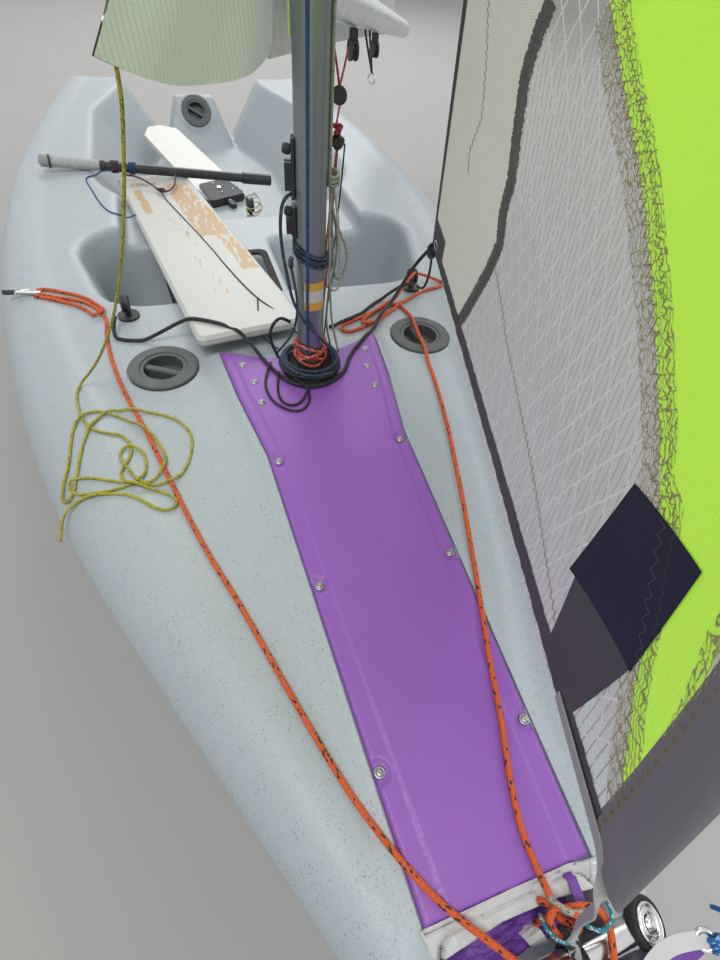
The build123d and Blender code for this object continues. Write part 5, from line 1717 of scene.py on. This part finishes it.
navy_inner = coil(2.3, 0.2, lambda share, angle: 0.046 + 0.004 * math.sin(2 * angle) + 0.0072 * share,
                  lambda share, angle: 0.5075 + 0.003 * math.sin(angle + 0.2) + 0.0124 * share)
navy_outer = coil(1.6, 1.9, lambda share, angle: 0.053 + 0.004 * math.sin(2 * angle + 1) + 0.0072 * share,
                  lambda share, angle: 0.5075 + 0.004 * math.sin(angle + 1.9) + 0.00496 * share)
black_coil = coil(2.2, 0.9, lambda share, angle: 0.061 - 0.006 * share + 0.003 * math.sin(3 * angle),
                  lambda share, angle: 0.5065 + 0.008 * share + 0.0035 * math.sin(angle - 0.6))
red_coil = coil(5.4, 2.0, lambda share, angle: 0.0288 + 0.0032 * abs(math.sin(7 * share * math.pi)),
                lambda share, angle: 0.517 + 0.040 * share + 0.008 * math.sin(1.7 * angle), 300)
tubes("foot_coils_navy", [evenly(navy_inner, 0.005), evenly(navy_outer, 0.005)], 0.0030, rope_navy)
tubes("foot_coils_black", [evenly(black_coil, 0.005)], 0.0038, rope_black, sides=10)
tubes("foot_winding_red", [evenly(red_coil, 0.004)], 0.0030, rope_red_orange)

BAND_MIDDLE = 0.665
band_finish = Finish("mast_band", (0.80, 0.42, 0.05), 0.45)
away = band_finish.maths("ABSOLUTE", band_finish.maths("SUBTRACT", band_finish.parts(band_finish.place)["Z"],
                                                       BAND_MIDDLE))
tone = band_finish.mix(band_finish.maths("LESS_THAN", away, 0.011), (0.78, 0.40, 0.05), (0.66, 0.64, 0.60))
band_finish.colour(band_finish.over(tone, band_finish.smudges(60.0, 0.5)["Mask"], 0.5, (0.50, 0.48, 0.45)))
band = Shape()
band.add([round_mast(-42 + 92 * step / 16, z, 0.0259) for step in range(17) for z in (0.638, 0.692)],
         [(2 * k, 2 * k + 2, 2 * k + 3, 2 * k + 1) for k in range(16)])
band.made("mast_band", band_finish)
print("foot of the mast is wound")

# %% Cleats on the mast
cleats = Shape()
for angle, low, high in ((-104, 0.822, 0.905), (-100, 0.762, 0.812), (158, 0.640, 0.700)):
    turn = Matrix.Rotation(math.radians(angle), 4, "Z")
    height = high - low
    add_box(cleats, (0.0250, -0.011, low), (0.0300, 0.011, high), turn)
    for left, right in ((-0.009, -0.002), (0.002, 0.009)):
        add_box(cleats, (0.0300, left, low + 0.15 * height), (0.0400, right, low + 0.62 * height), turn)
    add_turned(cleats, [(0.0065, 0.0), (0.0075, 0.003), (0.0075, 0.009), (0.0062, 0.012), (0.0035, 0.013)],
               turn @ facing((0.030, 0.0, low + 0.80 * height), (1.0, 0.0, 0.15)), 16)
    add_turned(cleats, [(0.0028, 0.0), (0.0032, 0.0015), (0.001, 0.002)],
               turn @ facing((0.030, 0.0, low + 0.07 * height), (1.0, 0.0, 0.0)), 10)
cleats.made("mast_cleats", black_plastic, smooth=False)


# %% Kicker and boom lines
def small_block(name, place, along, size, body="boat"):
    """A small rope block: two cheeks with a wheel between them."""
    shape = Shape()
    base = facing(place, along) @ Matrix.Rotation(math.pi / 2, 4, "X")
    for side in (-1, 1):
        shift = Matrix.Translation(Vector((0.0, 0.0, side * 0.0055 * size)))
        add_turned(shape, [(0.010 * size, -0.0012), (0.0135 * size, -0.0012), (0.0135 * size, 0.0012),
                           (0.010 * size, 0.0016), (0.003 * size, 0.0022)], base @ shift, 18)
    add_turned(shape, [(0.0095 * size, -0.0038 * size), (0.0078 * size, 0.0), (0.0095 * size, 0.0038 * size)],
               base, 18)
    shape.made(name, black_plastic, body)


rope("kicker_strop_fore", mm(-291, 118, 955, -305, 130, 925, -322, 140, 893), 0.0045, rope_red, "boom")
rope("kicker_strop_aft", mm(-444, 194, 928, -400, 175, 908, -330, 144, 893), 0.0045, rope_red, "boom")
small_block("kicker_block_upper", (-0.322, 0.141, 0.878), (0.3, -0.1, -1.0), 1.15, "boom")
rope("kicker_fall", mm(-318, 142, 865, -240, 112, 860, -160, 88, 862, -150, 87, 866), 0.004, rope_red, "boom")
rope("kicker_line_one", mm(-150, 86.5, 842, -110, 62, 720, -66, 38, 600, -34, 20, 530), 0.004, rope_red)
rope("kicker_line_two", mm(-158, 90, 842, -120, 72, 720, -76, 48, 600, -44, 34, 520), 0.004, rope_red)
rope("downhaul_line", mm(-140, 98, 853, -100, 80, 760, -60, 52, 640, -40, 40, 530), 0.003, rope_black)
small_block("kicker_block_lower", (-0.153, 0.088, 0.852), (0.3, 0.15, 1.0), 0.9)
tubes("kicker_knot", [ring(lambda a: (0.006 * math.cos(a) - 0.151, 0.087 + 0.006 * math.sin(2 * a),
                                      0.872 + 0.006 * math.sin(a)), 24)], 0.003, rope_red)
STROP_AT = 0.96
cords("boom_strop", [[boom_at(STROP_AT + 0.07 * side, 0.0, 0.033), boom_at(STROP_AT + 0.07 * side, 0.031, 0.0),
                      boom_at(STROP_AT + 0.03 * side, 0.012, -0.075), boom_at(STROP_AT, 0.0, -0.120)]
                     for side in (-1, 1)], 0.006, 0.003, rope_black, 8, "boom")
ring_middle = boom_at(STROP_AT, 0.0, -0.131)
tubes("boom_ring", [ring(lambda a: ring_middle + Vector((0.012 * math.cos(a), 0.006 * math.cos(a),
                                                         0.012 * math.sin(a))), 24)], 0.0022, steel, "boom")
print("cleats, kicker and boom lines are made")

# %% [markdown]
# ## At the bow
# The folded downwind sail lies in the mouth of its chute behind a polished bar. A white cloth band covers
# the front edge of the panel. The sheets are knotted over the bar, with small cords and the strap of the jib.


# %% Cloth at the bow
def draped(name, first, second, finish, lift, columns, rows, crumple, fallback, droop=0.0, thick=0.0012):
    """A thin closed strip of cloth that lies on the deck between two lines of (x, y) places."""
    lines = [evenly([(x, y, 0.0) for x, y in line], 0.002) for line in (first, second)]
    top = []
    uvs = []
    for column in range(columns + 1):
        share = column / columns
        a, b = [line[round(share * (len(line) - 1))] for line in lines]
        for row in range(rows + 1):
            across = row / rows
            flat = a.lerp(b, across)
            bump = crumple * (noise.noise(Vector((flat.x * 70, flat.y * 70, 3.0))) + 0.5)
            bump += crumple * 0.6 * abs(noise.noise(Vector((flat.x * 160, flat.y * 160, 8.0))))
            ground = deck_height(flat.x, flat.y, fallback)
            height = (fallback if ground is None else ground) + (lift + max(bump, 0.0))
            top.append(Vector((flat.x, flat.y, height)) - Vector((0, 0, droop * across ** 2)))
            uvs.append((across * (b - a).length, share * (len(lines[0]) - 1) * 0.002))
    count = len(top)
    faces = grid_faces(columns, rows)
    under = [point - Vector((0, 0, thick)) for point in top]
    flipped = [tuple(reversed([index + count for index in face])) for face in faces]
    rim = around_grid(columns, rows)[::-1]
    walls = [(at, after, after + count, at + count) for at, after in zip(rim, rim[1:] + rim[:1])]
    piece(name, top + under, faces + flipped + walls, finish, "boat", uvs + uvs)


def ribbon(name, points, width, across, finish, thick=0.0014):
    """Flat webbing along a smooth route, with its width in a given direction."""
    line = nurbs_line(points, 0.005)
    corners = []
    uvs = []
    run = 0.0
    for index, point in enumerate(line):
        along = (line[min(index + 1, len(line) - 1)] - line[max(index - 1, 0)]).normalized()
        side = Vector(across) - along * Vector(across).dot(along)
        side = side.normalized() * (width / 2)
        up = side.cross(along).normalized() * (thick / 2)
        if index:
            run += (point - line[index - 1]).length
        corners += [point - side - up, point + side - up, point + side + up, point - side + up]
        uvs += [(0.0, run), (width, run), (width, run), (0.0, run)]
    last = (len(line) - 1) * 4
    faces = [(low + step, low + (step + 1) % 4, low + (step + 1) % 4 + 4, low + step + 4)
             for low in range(0, last, 4) for step in range(4)]
    faces += [(3, 2, 1, 0), (last, last + 1, last + 2, last + 3)]
    piece(name, corners, faces, finish, "boat", uvs, False)


BAND_WHITE = (0.66, 0.65, 0.64)
white_cloth = Finish("white_band_cloth", BAND_WHITE, 0.62)
tone = white_cloth.over(BAND_WHITE, white_cloth.threads(white_cloth.metres, 1.5708, 0.0062, 0.16), 0.25,
                        (0.50, 0.49, 0.49))
white_cloth.colour(white_cloth.over(tone, white_cloth.smudges(38.0, 0.52)["Mask"], 0.45, (0.44, 0.40, 0.37)))
weave = white_cloth.threads(white_cloth.metres, 0.0, 0.0011, 0.4)
white_cloth.bump(white_cloth.maths("ADD", white_cloth.noise(120.0, 5.0), weave), 0.45, 0.0012)

QUILT_GREY = (0.58, 0.60, 0.60)
quilted = Finish("quilted_window", QUILT_GREY, 0.5)
quilted.colour(quilted.over(QUILT_GREY, quilted.threads(quilted.metres, 0.12, 0.0085, 0.16),
                            quilted.threads(quilted.metres, 1.6, 0.010, 0.5), (0.82, 0.82, 0.81)))
quilted.bump(quilted.noise(150.0, 4.0), 0.3, 0.0010)

NYLON_PURPLE = (0.165, 0.050, 0.345)
nylon = Finish("sail_nylon_purple", NYLON_PURPLE, 0.50)
ripstop = nylon.maths("MAXIMUM", *[nylon.threads(nylon.place, angle, 0.0042, 0.12) for angle in (0.6, 2.17)])
marks = nylon.smudges(30.0, 0.5)
tone = nylon.over(NYLON_PURPLE, ripstop, 0.35, (0.235, 0.10, 0.44))
nylon.colour(nylon.over(tone, marks["Mask"], 0.4, (0.10, 0.03, 0.23)))
nylon.rough(marks["Fine"], 0.42, 0.6)
nylon.bump(nylon.noise(46.0, 6.0, nylon.stretched((1.0, 0.35, 1.0)), 1.6), 0.75, 0.006)
nylon_white = tape("sail_nylon_white", (0.66, 0.65, 0.64))

draped("bow_band", [(0.8935, -0.112), (0.8935, 0.0), (0.8945, 0.075), (0.900, 0.112)],
       [(0.924, -0.104), (0.916, -0.02), (0.918, 0.050), (0.926, 0.108)],
       white_cloth, 0.0018, 110, 12, 0.0026, 0.4475, 0.006)
draped("bow_band_port", [(0.899, 0.102), (0.912, 0.140), (0.934, 0.174)],
       [(0.930, 0.092), (0.945, 0.128), (0.956, 0.160)], quilted, 0.0030, 40, 14, 0.0018, 0.442)
draped("bow_purple_strap", [(0.902, 0.066), (0.931, 0.062)], [(0.903, 0.077), (0.930, 0.075)],
       nylon, 0.0052, 14, 6, 0.0008, 0.4475)
print("cloth band is on the bow")

# %% Folded sail in the mouth
FOLDS = [
    (mm(930, -80, 350, 938, -30, 352, 926, 20, 350, 936, 78, 352), 0.020),
    (mm(925, -78, 374, 942, -45, 378, 922, -10, 382, 936, 25, 376, 930, 74, 372), 0.016),
    (mm(942, -76, 384, 926, -52, 393, 944, -30, 394, 938, -4, 388), 0.013),
    (mm(918, -60, 390, 924, -34, 400, 919, -10, 399, 936, 10, 394), 0.0095),
    (mm(946, -60, 394, 948, -30, 402, 944, 0, 398, 948, 30, 392), 0.0080),
    (mm(921, 10, 392, 936, 32, 397, 921, 52, 394, 938, 76, 386), 0.0105),
    (mm(946, 30, 388, 940, 60, 395, 948, 80, 384), 0.0090),
    (mm(930, -44, 398, 934, -26, 406, 932, -6, 404, 925, 12, 398), 0.0060)]
folded = Shape()
for route, thick in FOLDS:
    add_tube(folded, nurbs_line(route, 0.004), thick, 14, 0.62)
forming = new_object("bundle_forming", plain_mesh("bundle", folded.corners, folded.faces))
rounded(forming, 0.0024, 3)
joined = baked(forming, "sail_bundle_mesh")
bpy.data.objects.remove(forming)
corners = []
for corner in joined.vertices:
    crease = noise.noise(Vector((corner.co.x * 110, corner.co.y * 45, corner.co.z * 110)))
    corners.append(corner.co + corner.normal * (0.0020 * (1.0 - 2.2 * abs(crease))))
sail_bundle = piece("sail_bundle", corners, [tuple(face.vertices) for face in joined.polygons], nylon)
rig.replaces(sail_bundle, "chute_sail_bundle")
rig.slot(sail_bundle, "nylon_cloth")
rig.padded(sail_bundle, fill=0.5)
bpy.data.meshes.remove(joined)
ribbon("sail_white_tape", mm(
    930, 10, 396, 940, 16, 409, 949, 20, 408, 955, 24, 398), 0.020, (0.1, 1.0, 0.1), nylon_white)
print("sail bundle has", len(corners), "corners")

# %% Corner of the folded sail over the bar
EYELET = Vector((0.998, 0.181, 0.4560))
CLOTH_ROWS = 14
CLOTH_COLUMNS = 20


def corner_cloth_at(column, row):
    """A point of the cloth, which rests on the deck and hangs free past it."""
    across = column / CLOTH_COLUMNS
    start = Vector((0.988, 0.030, 0.4525)).lerp(Vector((0.990, 0.192, 0.4540)), across)
    end = Vector((1.036, 0.020, 0.4475)).lerp(Vector((1.006, 0.186, 0.4530)), across)
    point = start.lerp(end, row / CLOTH_ROWS)
    ripple = 0.0035 * noise.noise(Vector((point.x * 60, point.y * 60, 1.0)))
    ground = deck_height(point.x, point.y, point.z)
    height = point.z + ripple
    if ground is not None:
        height = max(ground + 0.0028 + abs(ripple), height - 0.004)
    return Vector((point.x, point.y, height)), (0.0, 0.0)


ribbon("sail_corner_tape", mm(
    1020, 45, 451, 1011, 70, 451.5, 1000, 98, 453.5, 989, 130, 456, 991.5, 160, 456.5,
    999, 188, 457.5), 0.015, (1.0, 0.35, 0.0), nylon_white, 0.0015)
cloth("sail_corner_cloth", corner_cloth_at, range(CLOTH_ROWS + 1), CLOTH_COLUMNS, nylon)
eyelet = Shape()
add_eyelet(eyelet, (0.0056, 0.0062, 0.0105, 0.0118), 0.0022, 0.0026, facing(EYELET, (0.15, -0.3, 1.0)), 24)
eyelet.made("sail_corner_eyelet", steel)
tubes("sail_corner_knot", [ring(lambda a: EYELET + Vector((0.002 + 0.0045 * turn, 0.010 + 0.007 * math.cos(a),
                                                           0.002 + 0.008 * math.sin(a))), 18)
                           for turn in range(3)], 0.0028, rope_bright)
tail_places = mm(4, 12, 8, 2, 22, 16, -6, 34, 14, -12, 40, 0, -14, 42, -22)
free_cord(rope("sail_corner_line", [EYELET + Vector(place) for place in tail_places], 0.0055, rope_bright),
          0.0055, "bare", "hanging")

# %% Knots over the bar
free_cord(rope("orange_knot_strand", mm(
    936, 26, 402, 928, 30, 440, 926, 44, 461.5, 929, 64, 464, 938, 83, 462, 953, 86, 460, 970, 80, 456,
    987, 72, 452, 994.5, 69, 440, 995, 66, 415, 993, 64, 390), 0.008, rope_orange), 0.008, "object")
cords("orange_knot", [mm(
    912, 24, 452, 920, 36, 464, 934, 52, 470, 946, 50, 464, 948, 36, 460, 938, 22, 464, 924, 22, 469,
    920, 40, 473, 934, 50, 476)], 0.004, 0.0040, rope_orange, 10)
cords("beige_rope_end", [mm(
    913, 34, 462, 919, 35, 473, 927, 41, 477, 932, 52, 474, 934, 60, 468)], 0.003, 0.0036, rope_white)
cords("teal_cords", [mm(
    922, 18, 456, 930, 14, 468, 940, 17, 473, 948, 26, 473, 950, 38, 469, 944, 47, 470, 936, 46, 478),
                     mm(
                         944, 58, 466, 950, 64, 470, 954, 74, 469, 950, 86, 470, 942, 92, 467,
                         936, 94, 460)], 0.003, 0.0021, rope_teal)
cords("dark_knot_cord", [mm(
    936, 30, 464, 945, 34, 476, 953, 42, 474, 956, 36, 465, 962, 34, 456, 975, 36, 454.5, 990, 40, 448,
    994, 42, 430),
                         mm(
                             948, 46, 468, 955, 34, 470, 950, 26, 466,
                             943, 34, 470)], 0.003, 0.0030, rope_black)
strap_top = [tuple(jib_at(u, 0.0030, 0.0040)) for u in (0.150, 0.100, 0.055, 0.020)]
ribbon("jib_tack_strap", strap_top + mm(
    910, 15, 620, 918, 21, 575, 926, 27, 538, 935, 31, 504, 944, 33, 480, 954, 35, 468,
    964, 35.5, 459), 0.012, (-0.5, 0.2, 0.85),
       tape("webbing_pale", (0.42, 0.42, 0.41)), 0.0020)
lashing_ring = ring(lambda a: (0.972 + 0.0175 * math.cos(a), 0.036 + 0.004 * math.sin(a),
                               0.432 + 0.0175 * math.sin(a)), 28)
tubes("bar_lashing", [[point + Vector((0.0, shift, 0.0)) for point in lashing_ring]
                      for shift in (0.0, 0.0055, 0.0110)], 0.0022, rope_black)

bar_ends = Shape()
bar_rings = Shape()
for side in (-1, 1):
    place = facing((0.970, side * 0.136, 0.4440), (0.10, side * 0.42, 0.90))
    add_turned(bar_ends, [(0.0150, -0.010), (0.0196, 0.0000), (0.0200, 0.0022), (0.0188, 0.0036),
                          (0.0172, 0.0034), (0.0150, 0.0012), (0.0132, 0.0010), (0.0120, 0.0026),
                          (0.0104, 0.0028), (0.0088, 0.0008), (0.0062, 0.0006), (0.0058, 0.0030),
                          (0.0040, 0.0040), (0.0012, 0.0036)], place, 36)
    add_turned(bar_rings, [(0.0206, -0.012), (0.0236, -0.012), (0.0256, -0.004), (0.0250, 0.0010),
                           (0.0224, 0.0026), (0.0203, 0.0008)], place, 36)
bar_ends.made("bar_end_caps", steel)
bar_rings.made("bar_end_rings", black_rubber)
print("the knots over the bar are made")

# %% [markdown]
# ## In the cockpit
# The rudder, tiller and daggerboard lie where they were put down, with the cords that hold them.

# %% Tiller, board cords and straps
TILLER_A = Vector((-1.210, -0.585, 0.4890))
TILLER_B = Vector((-1.280, 0.170, 0.3798))
TILLER_RADIUS = 0.015
WRAP_STEPS = 22


def tiller_at(distance, around=0.0, radius=0.0):
    """A point along the tiller and round it: angle 0 is up, 90 degrees is forward."""
    along = (TILLER_B - TILLER_A).normalized()
    forward = Vector((1.0, 0.0, 0.0))
    forward = (forward - along * forward.dot(along)).normalized()
    up = along.cross(forward)
    up = up if up.z > 0 else -up
    angle = math.radians(around)
    return TILLER_A + along * distance + up * radius * math.cos(angle) + forward * radius * math.sin(angle)


GRIP_GREY = (0.52, 0.53, 0.52)
taped = Finish("grip_tape", GRIP_GREY, 0.7)
wraps = taped.threads(taped.metres, 1.30, 0.017, 0.12)
tone = taped.over(GRIP_GREY, taped.smudges(60.0, 0.55)["Mask"], 0.7, (0.22, 0.22, 0.22))
taped.colour(taped.mix(wraps, tone, (0.16, 0.16, 0.17)))
taped.bump(taped.maths("ADD", wraps, taped.noise(260.0, 3.0)), 0.5, 0.0012)
tubes("tiller_grip_tape", [[tiller_at(0.030 + 0.004 * step) for step in range(36)]],
      ([TILLER_RADIUS + 0.0012 + 0.0007 * math.sin(step * 1.3) for step in range(36)],), taped, sides=24)
JOINT_SHARES = (0.5, 0.92, 1.12, 1.18, 1.2, 1.2, 1.2, 1.2, 1.2, 1.2, 1.2, 1.18, 1.14, 1.1, 1.04)
tubes("extension_joint", [[tiller_at(0.003 * step - 0.008) for step in range(15)]],
      ([TILLER_RADIUS * share for share in JOINT_SHARES],),
      worn_plastic("grey_rubber", (0.34, 0.35, 0.34), (0.50, 0.51, 0.50), 0.7), sides=24)
tubes("tiller_bands", [[tiller_at(0.020), tiller_at(0.026)], [tiller_at(0.176), tiller_at(0.186)]],
      (TILLER_RADIUS * 1.28, TILLER_RADIUS + 0.0015), black_plastic, sides=24)
for name, start, turns, pitch, cord, finish, wobble in [
        ("tiller_lashing_maroon", 0.205, 5, 0.0048, 0.0042, rope_maroon, 0.0010),
        ("tiller_lashing_blue", 0.262, 4, 0.0050, 0.0040, rope_blue, 0.0012)]:
    line = [tiller_at(start + pitch * step / WRAP_STEPS + wobble * math.sin(step * 0.31),
                      360.0 * step / WRAP_STEPS, TILLER_RADIUS + cord * 0.5 + 0.0004)
            for step in range(WRAP_STEPS * turns + 1)]
    tubes(name, [line], cord / 2, finish)
laid_rope("blue_cord", mm(
    -1196, -376, 460, -1188, -425, 460, -1150, -462, 459, -1108, -458, 458, -1050, -443, 458.3,
    -980, -428, 458.6, -919, -411, 458.9, -878, -392, 459.2, -868, -376, 445, -880, -362, 425,
    -893, -345, 405, -890, -322, 403), 0.004, rope_blue, near=0.05)
rope("dark_lashing", mm(
    -1215, -345, 438, -1196, -318, 442, -1160, -285, 440, -1120, -255, 433, -1085, -240, 429,
    -1068, -226, 434, -1078, -205, 435, -1120, -190, 433, -1170, -182, 433,
    -1208, -178, 433), 0.006, rope_maroon)
cords("dark_lashing_knot", [mm(
    -1092, -246, 436, -1076, -240, 442, -1066, -228, 438, -1074, -220, 434, -1088, -230, 440,
    -1080, -246, 436)], 0.003, 0.0038, rope_maroon)
rope("board_cord", mm(
    -1066, -236, 434, -1030, -230, 432, -900, -202, 444.5, -603, -137, 474.5, -412, -104, 495, -242, -66, 513,
    -170, -30, 518, -120, -6, 500, -98, 8, 493, -60, 20, 506), 0.0034, rope_black)
rope("board_cord_second", mm(
    -242, -64, 514, -190, -72, 519, -150, -80, 508, -120, -78, 498, -95, -70, 493,
    -55, -52, 501), 0.0034, rope_black)
strap_black = tape("toe_strap", (0.022, 0.022, 0.024))
ribbon("toe_strap_starboard", mm(
    -700, -250, 335, -640, -245, 322, -540, -235, 315, -440, -228, 322,
    -375, -224, 340), 0.050, (0.0, 1.0, 0.15), strap_black)
ribbon("toe_strap_port", mm(
    -700, 190, 335, -600, 185, 320, -480, 178, 320, -360, 170, 338), 0.050, (0.0, 1.0, -0.1), strap_black)
print("the cockpit is tied up")

# %% Small fittings and tangles in the cockpit
cords("mainsheet_tails", [
    mm(
        -1300, 60, 300, -1325, 80, 312, -1312, 118, 318, -1272, 128, 308, -1240, 108, 300, -1236, 78, 294,
        -1262, 58, 302, -1292, 72, 314),
    mm(-1255, 66, 292, -1225, 60, 286, -1198, 72, 284, -1192, 98, 288, -1216, 114, 292, -1246, 106, 296),
    mm(
        -1310, 104, 326, -1286, 118, 330, -1262, 108, 326, -1262, 80, 322,
        -1288, 66, 324)], 0.004, 0.0019, rope_white, 8, "mainsheet_swivel")
cords("mainsheet_tails_yellow", [
    mm(-1314, 92, 290, -1300, 124, 296, -1268, 134, 290, -1238, 122, 284, -1222, 92, 284),
    mm(
        -1262, 118, 308, -1228, 122, 300, -1206, 104, 296, -1212, 78, 294,
        -1240, 66, 300)], 0.004, 0.0017, rope_yellow, 8, "mainsheet_swivel")

stock_bolts = Shape()
stock_tree = surface_under([frame["nodes"]["rudder_stock"]])
for x, y in [(-1.660, 0.030), (-1.640, -0.020), (-1.600, 0.060), (-1.575, 0.010), (-1.545, 0.078),
             (-1.530, 0.036), (-1.620, 0.080)]:
    hit = stock_tree.ray_cast(Vector((x, y, 0.40)), Vector((0.0, 0.0, -1.0)), 0.4)
    if hit[0] is not None:
        add_turned(stock_bolts, [(0.0052, -0.001), (0.0055, 0.0008), (0.0046, 0.0026), (0.0020, 0.0034)],
                   facing(hit[0], hit[1]), 16)
stock_bolts.made("rudder_stock_bolts", screw_steel)
print("small fittings are in place")

# %% [markdown]
# ## Size
# The box of the finished model is written beside the box of the frame, so that the two can be compared.

# %% Size
size_out = {"cad_box": cad_bounds, "finished_box": [list(corner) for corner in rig.bounds()]}
with open("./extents.json", "w") as out_file:
    json.dump(size_out, out_file, indent=1)
print("finished box:", size_out["finished_box"])
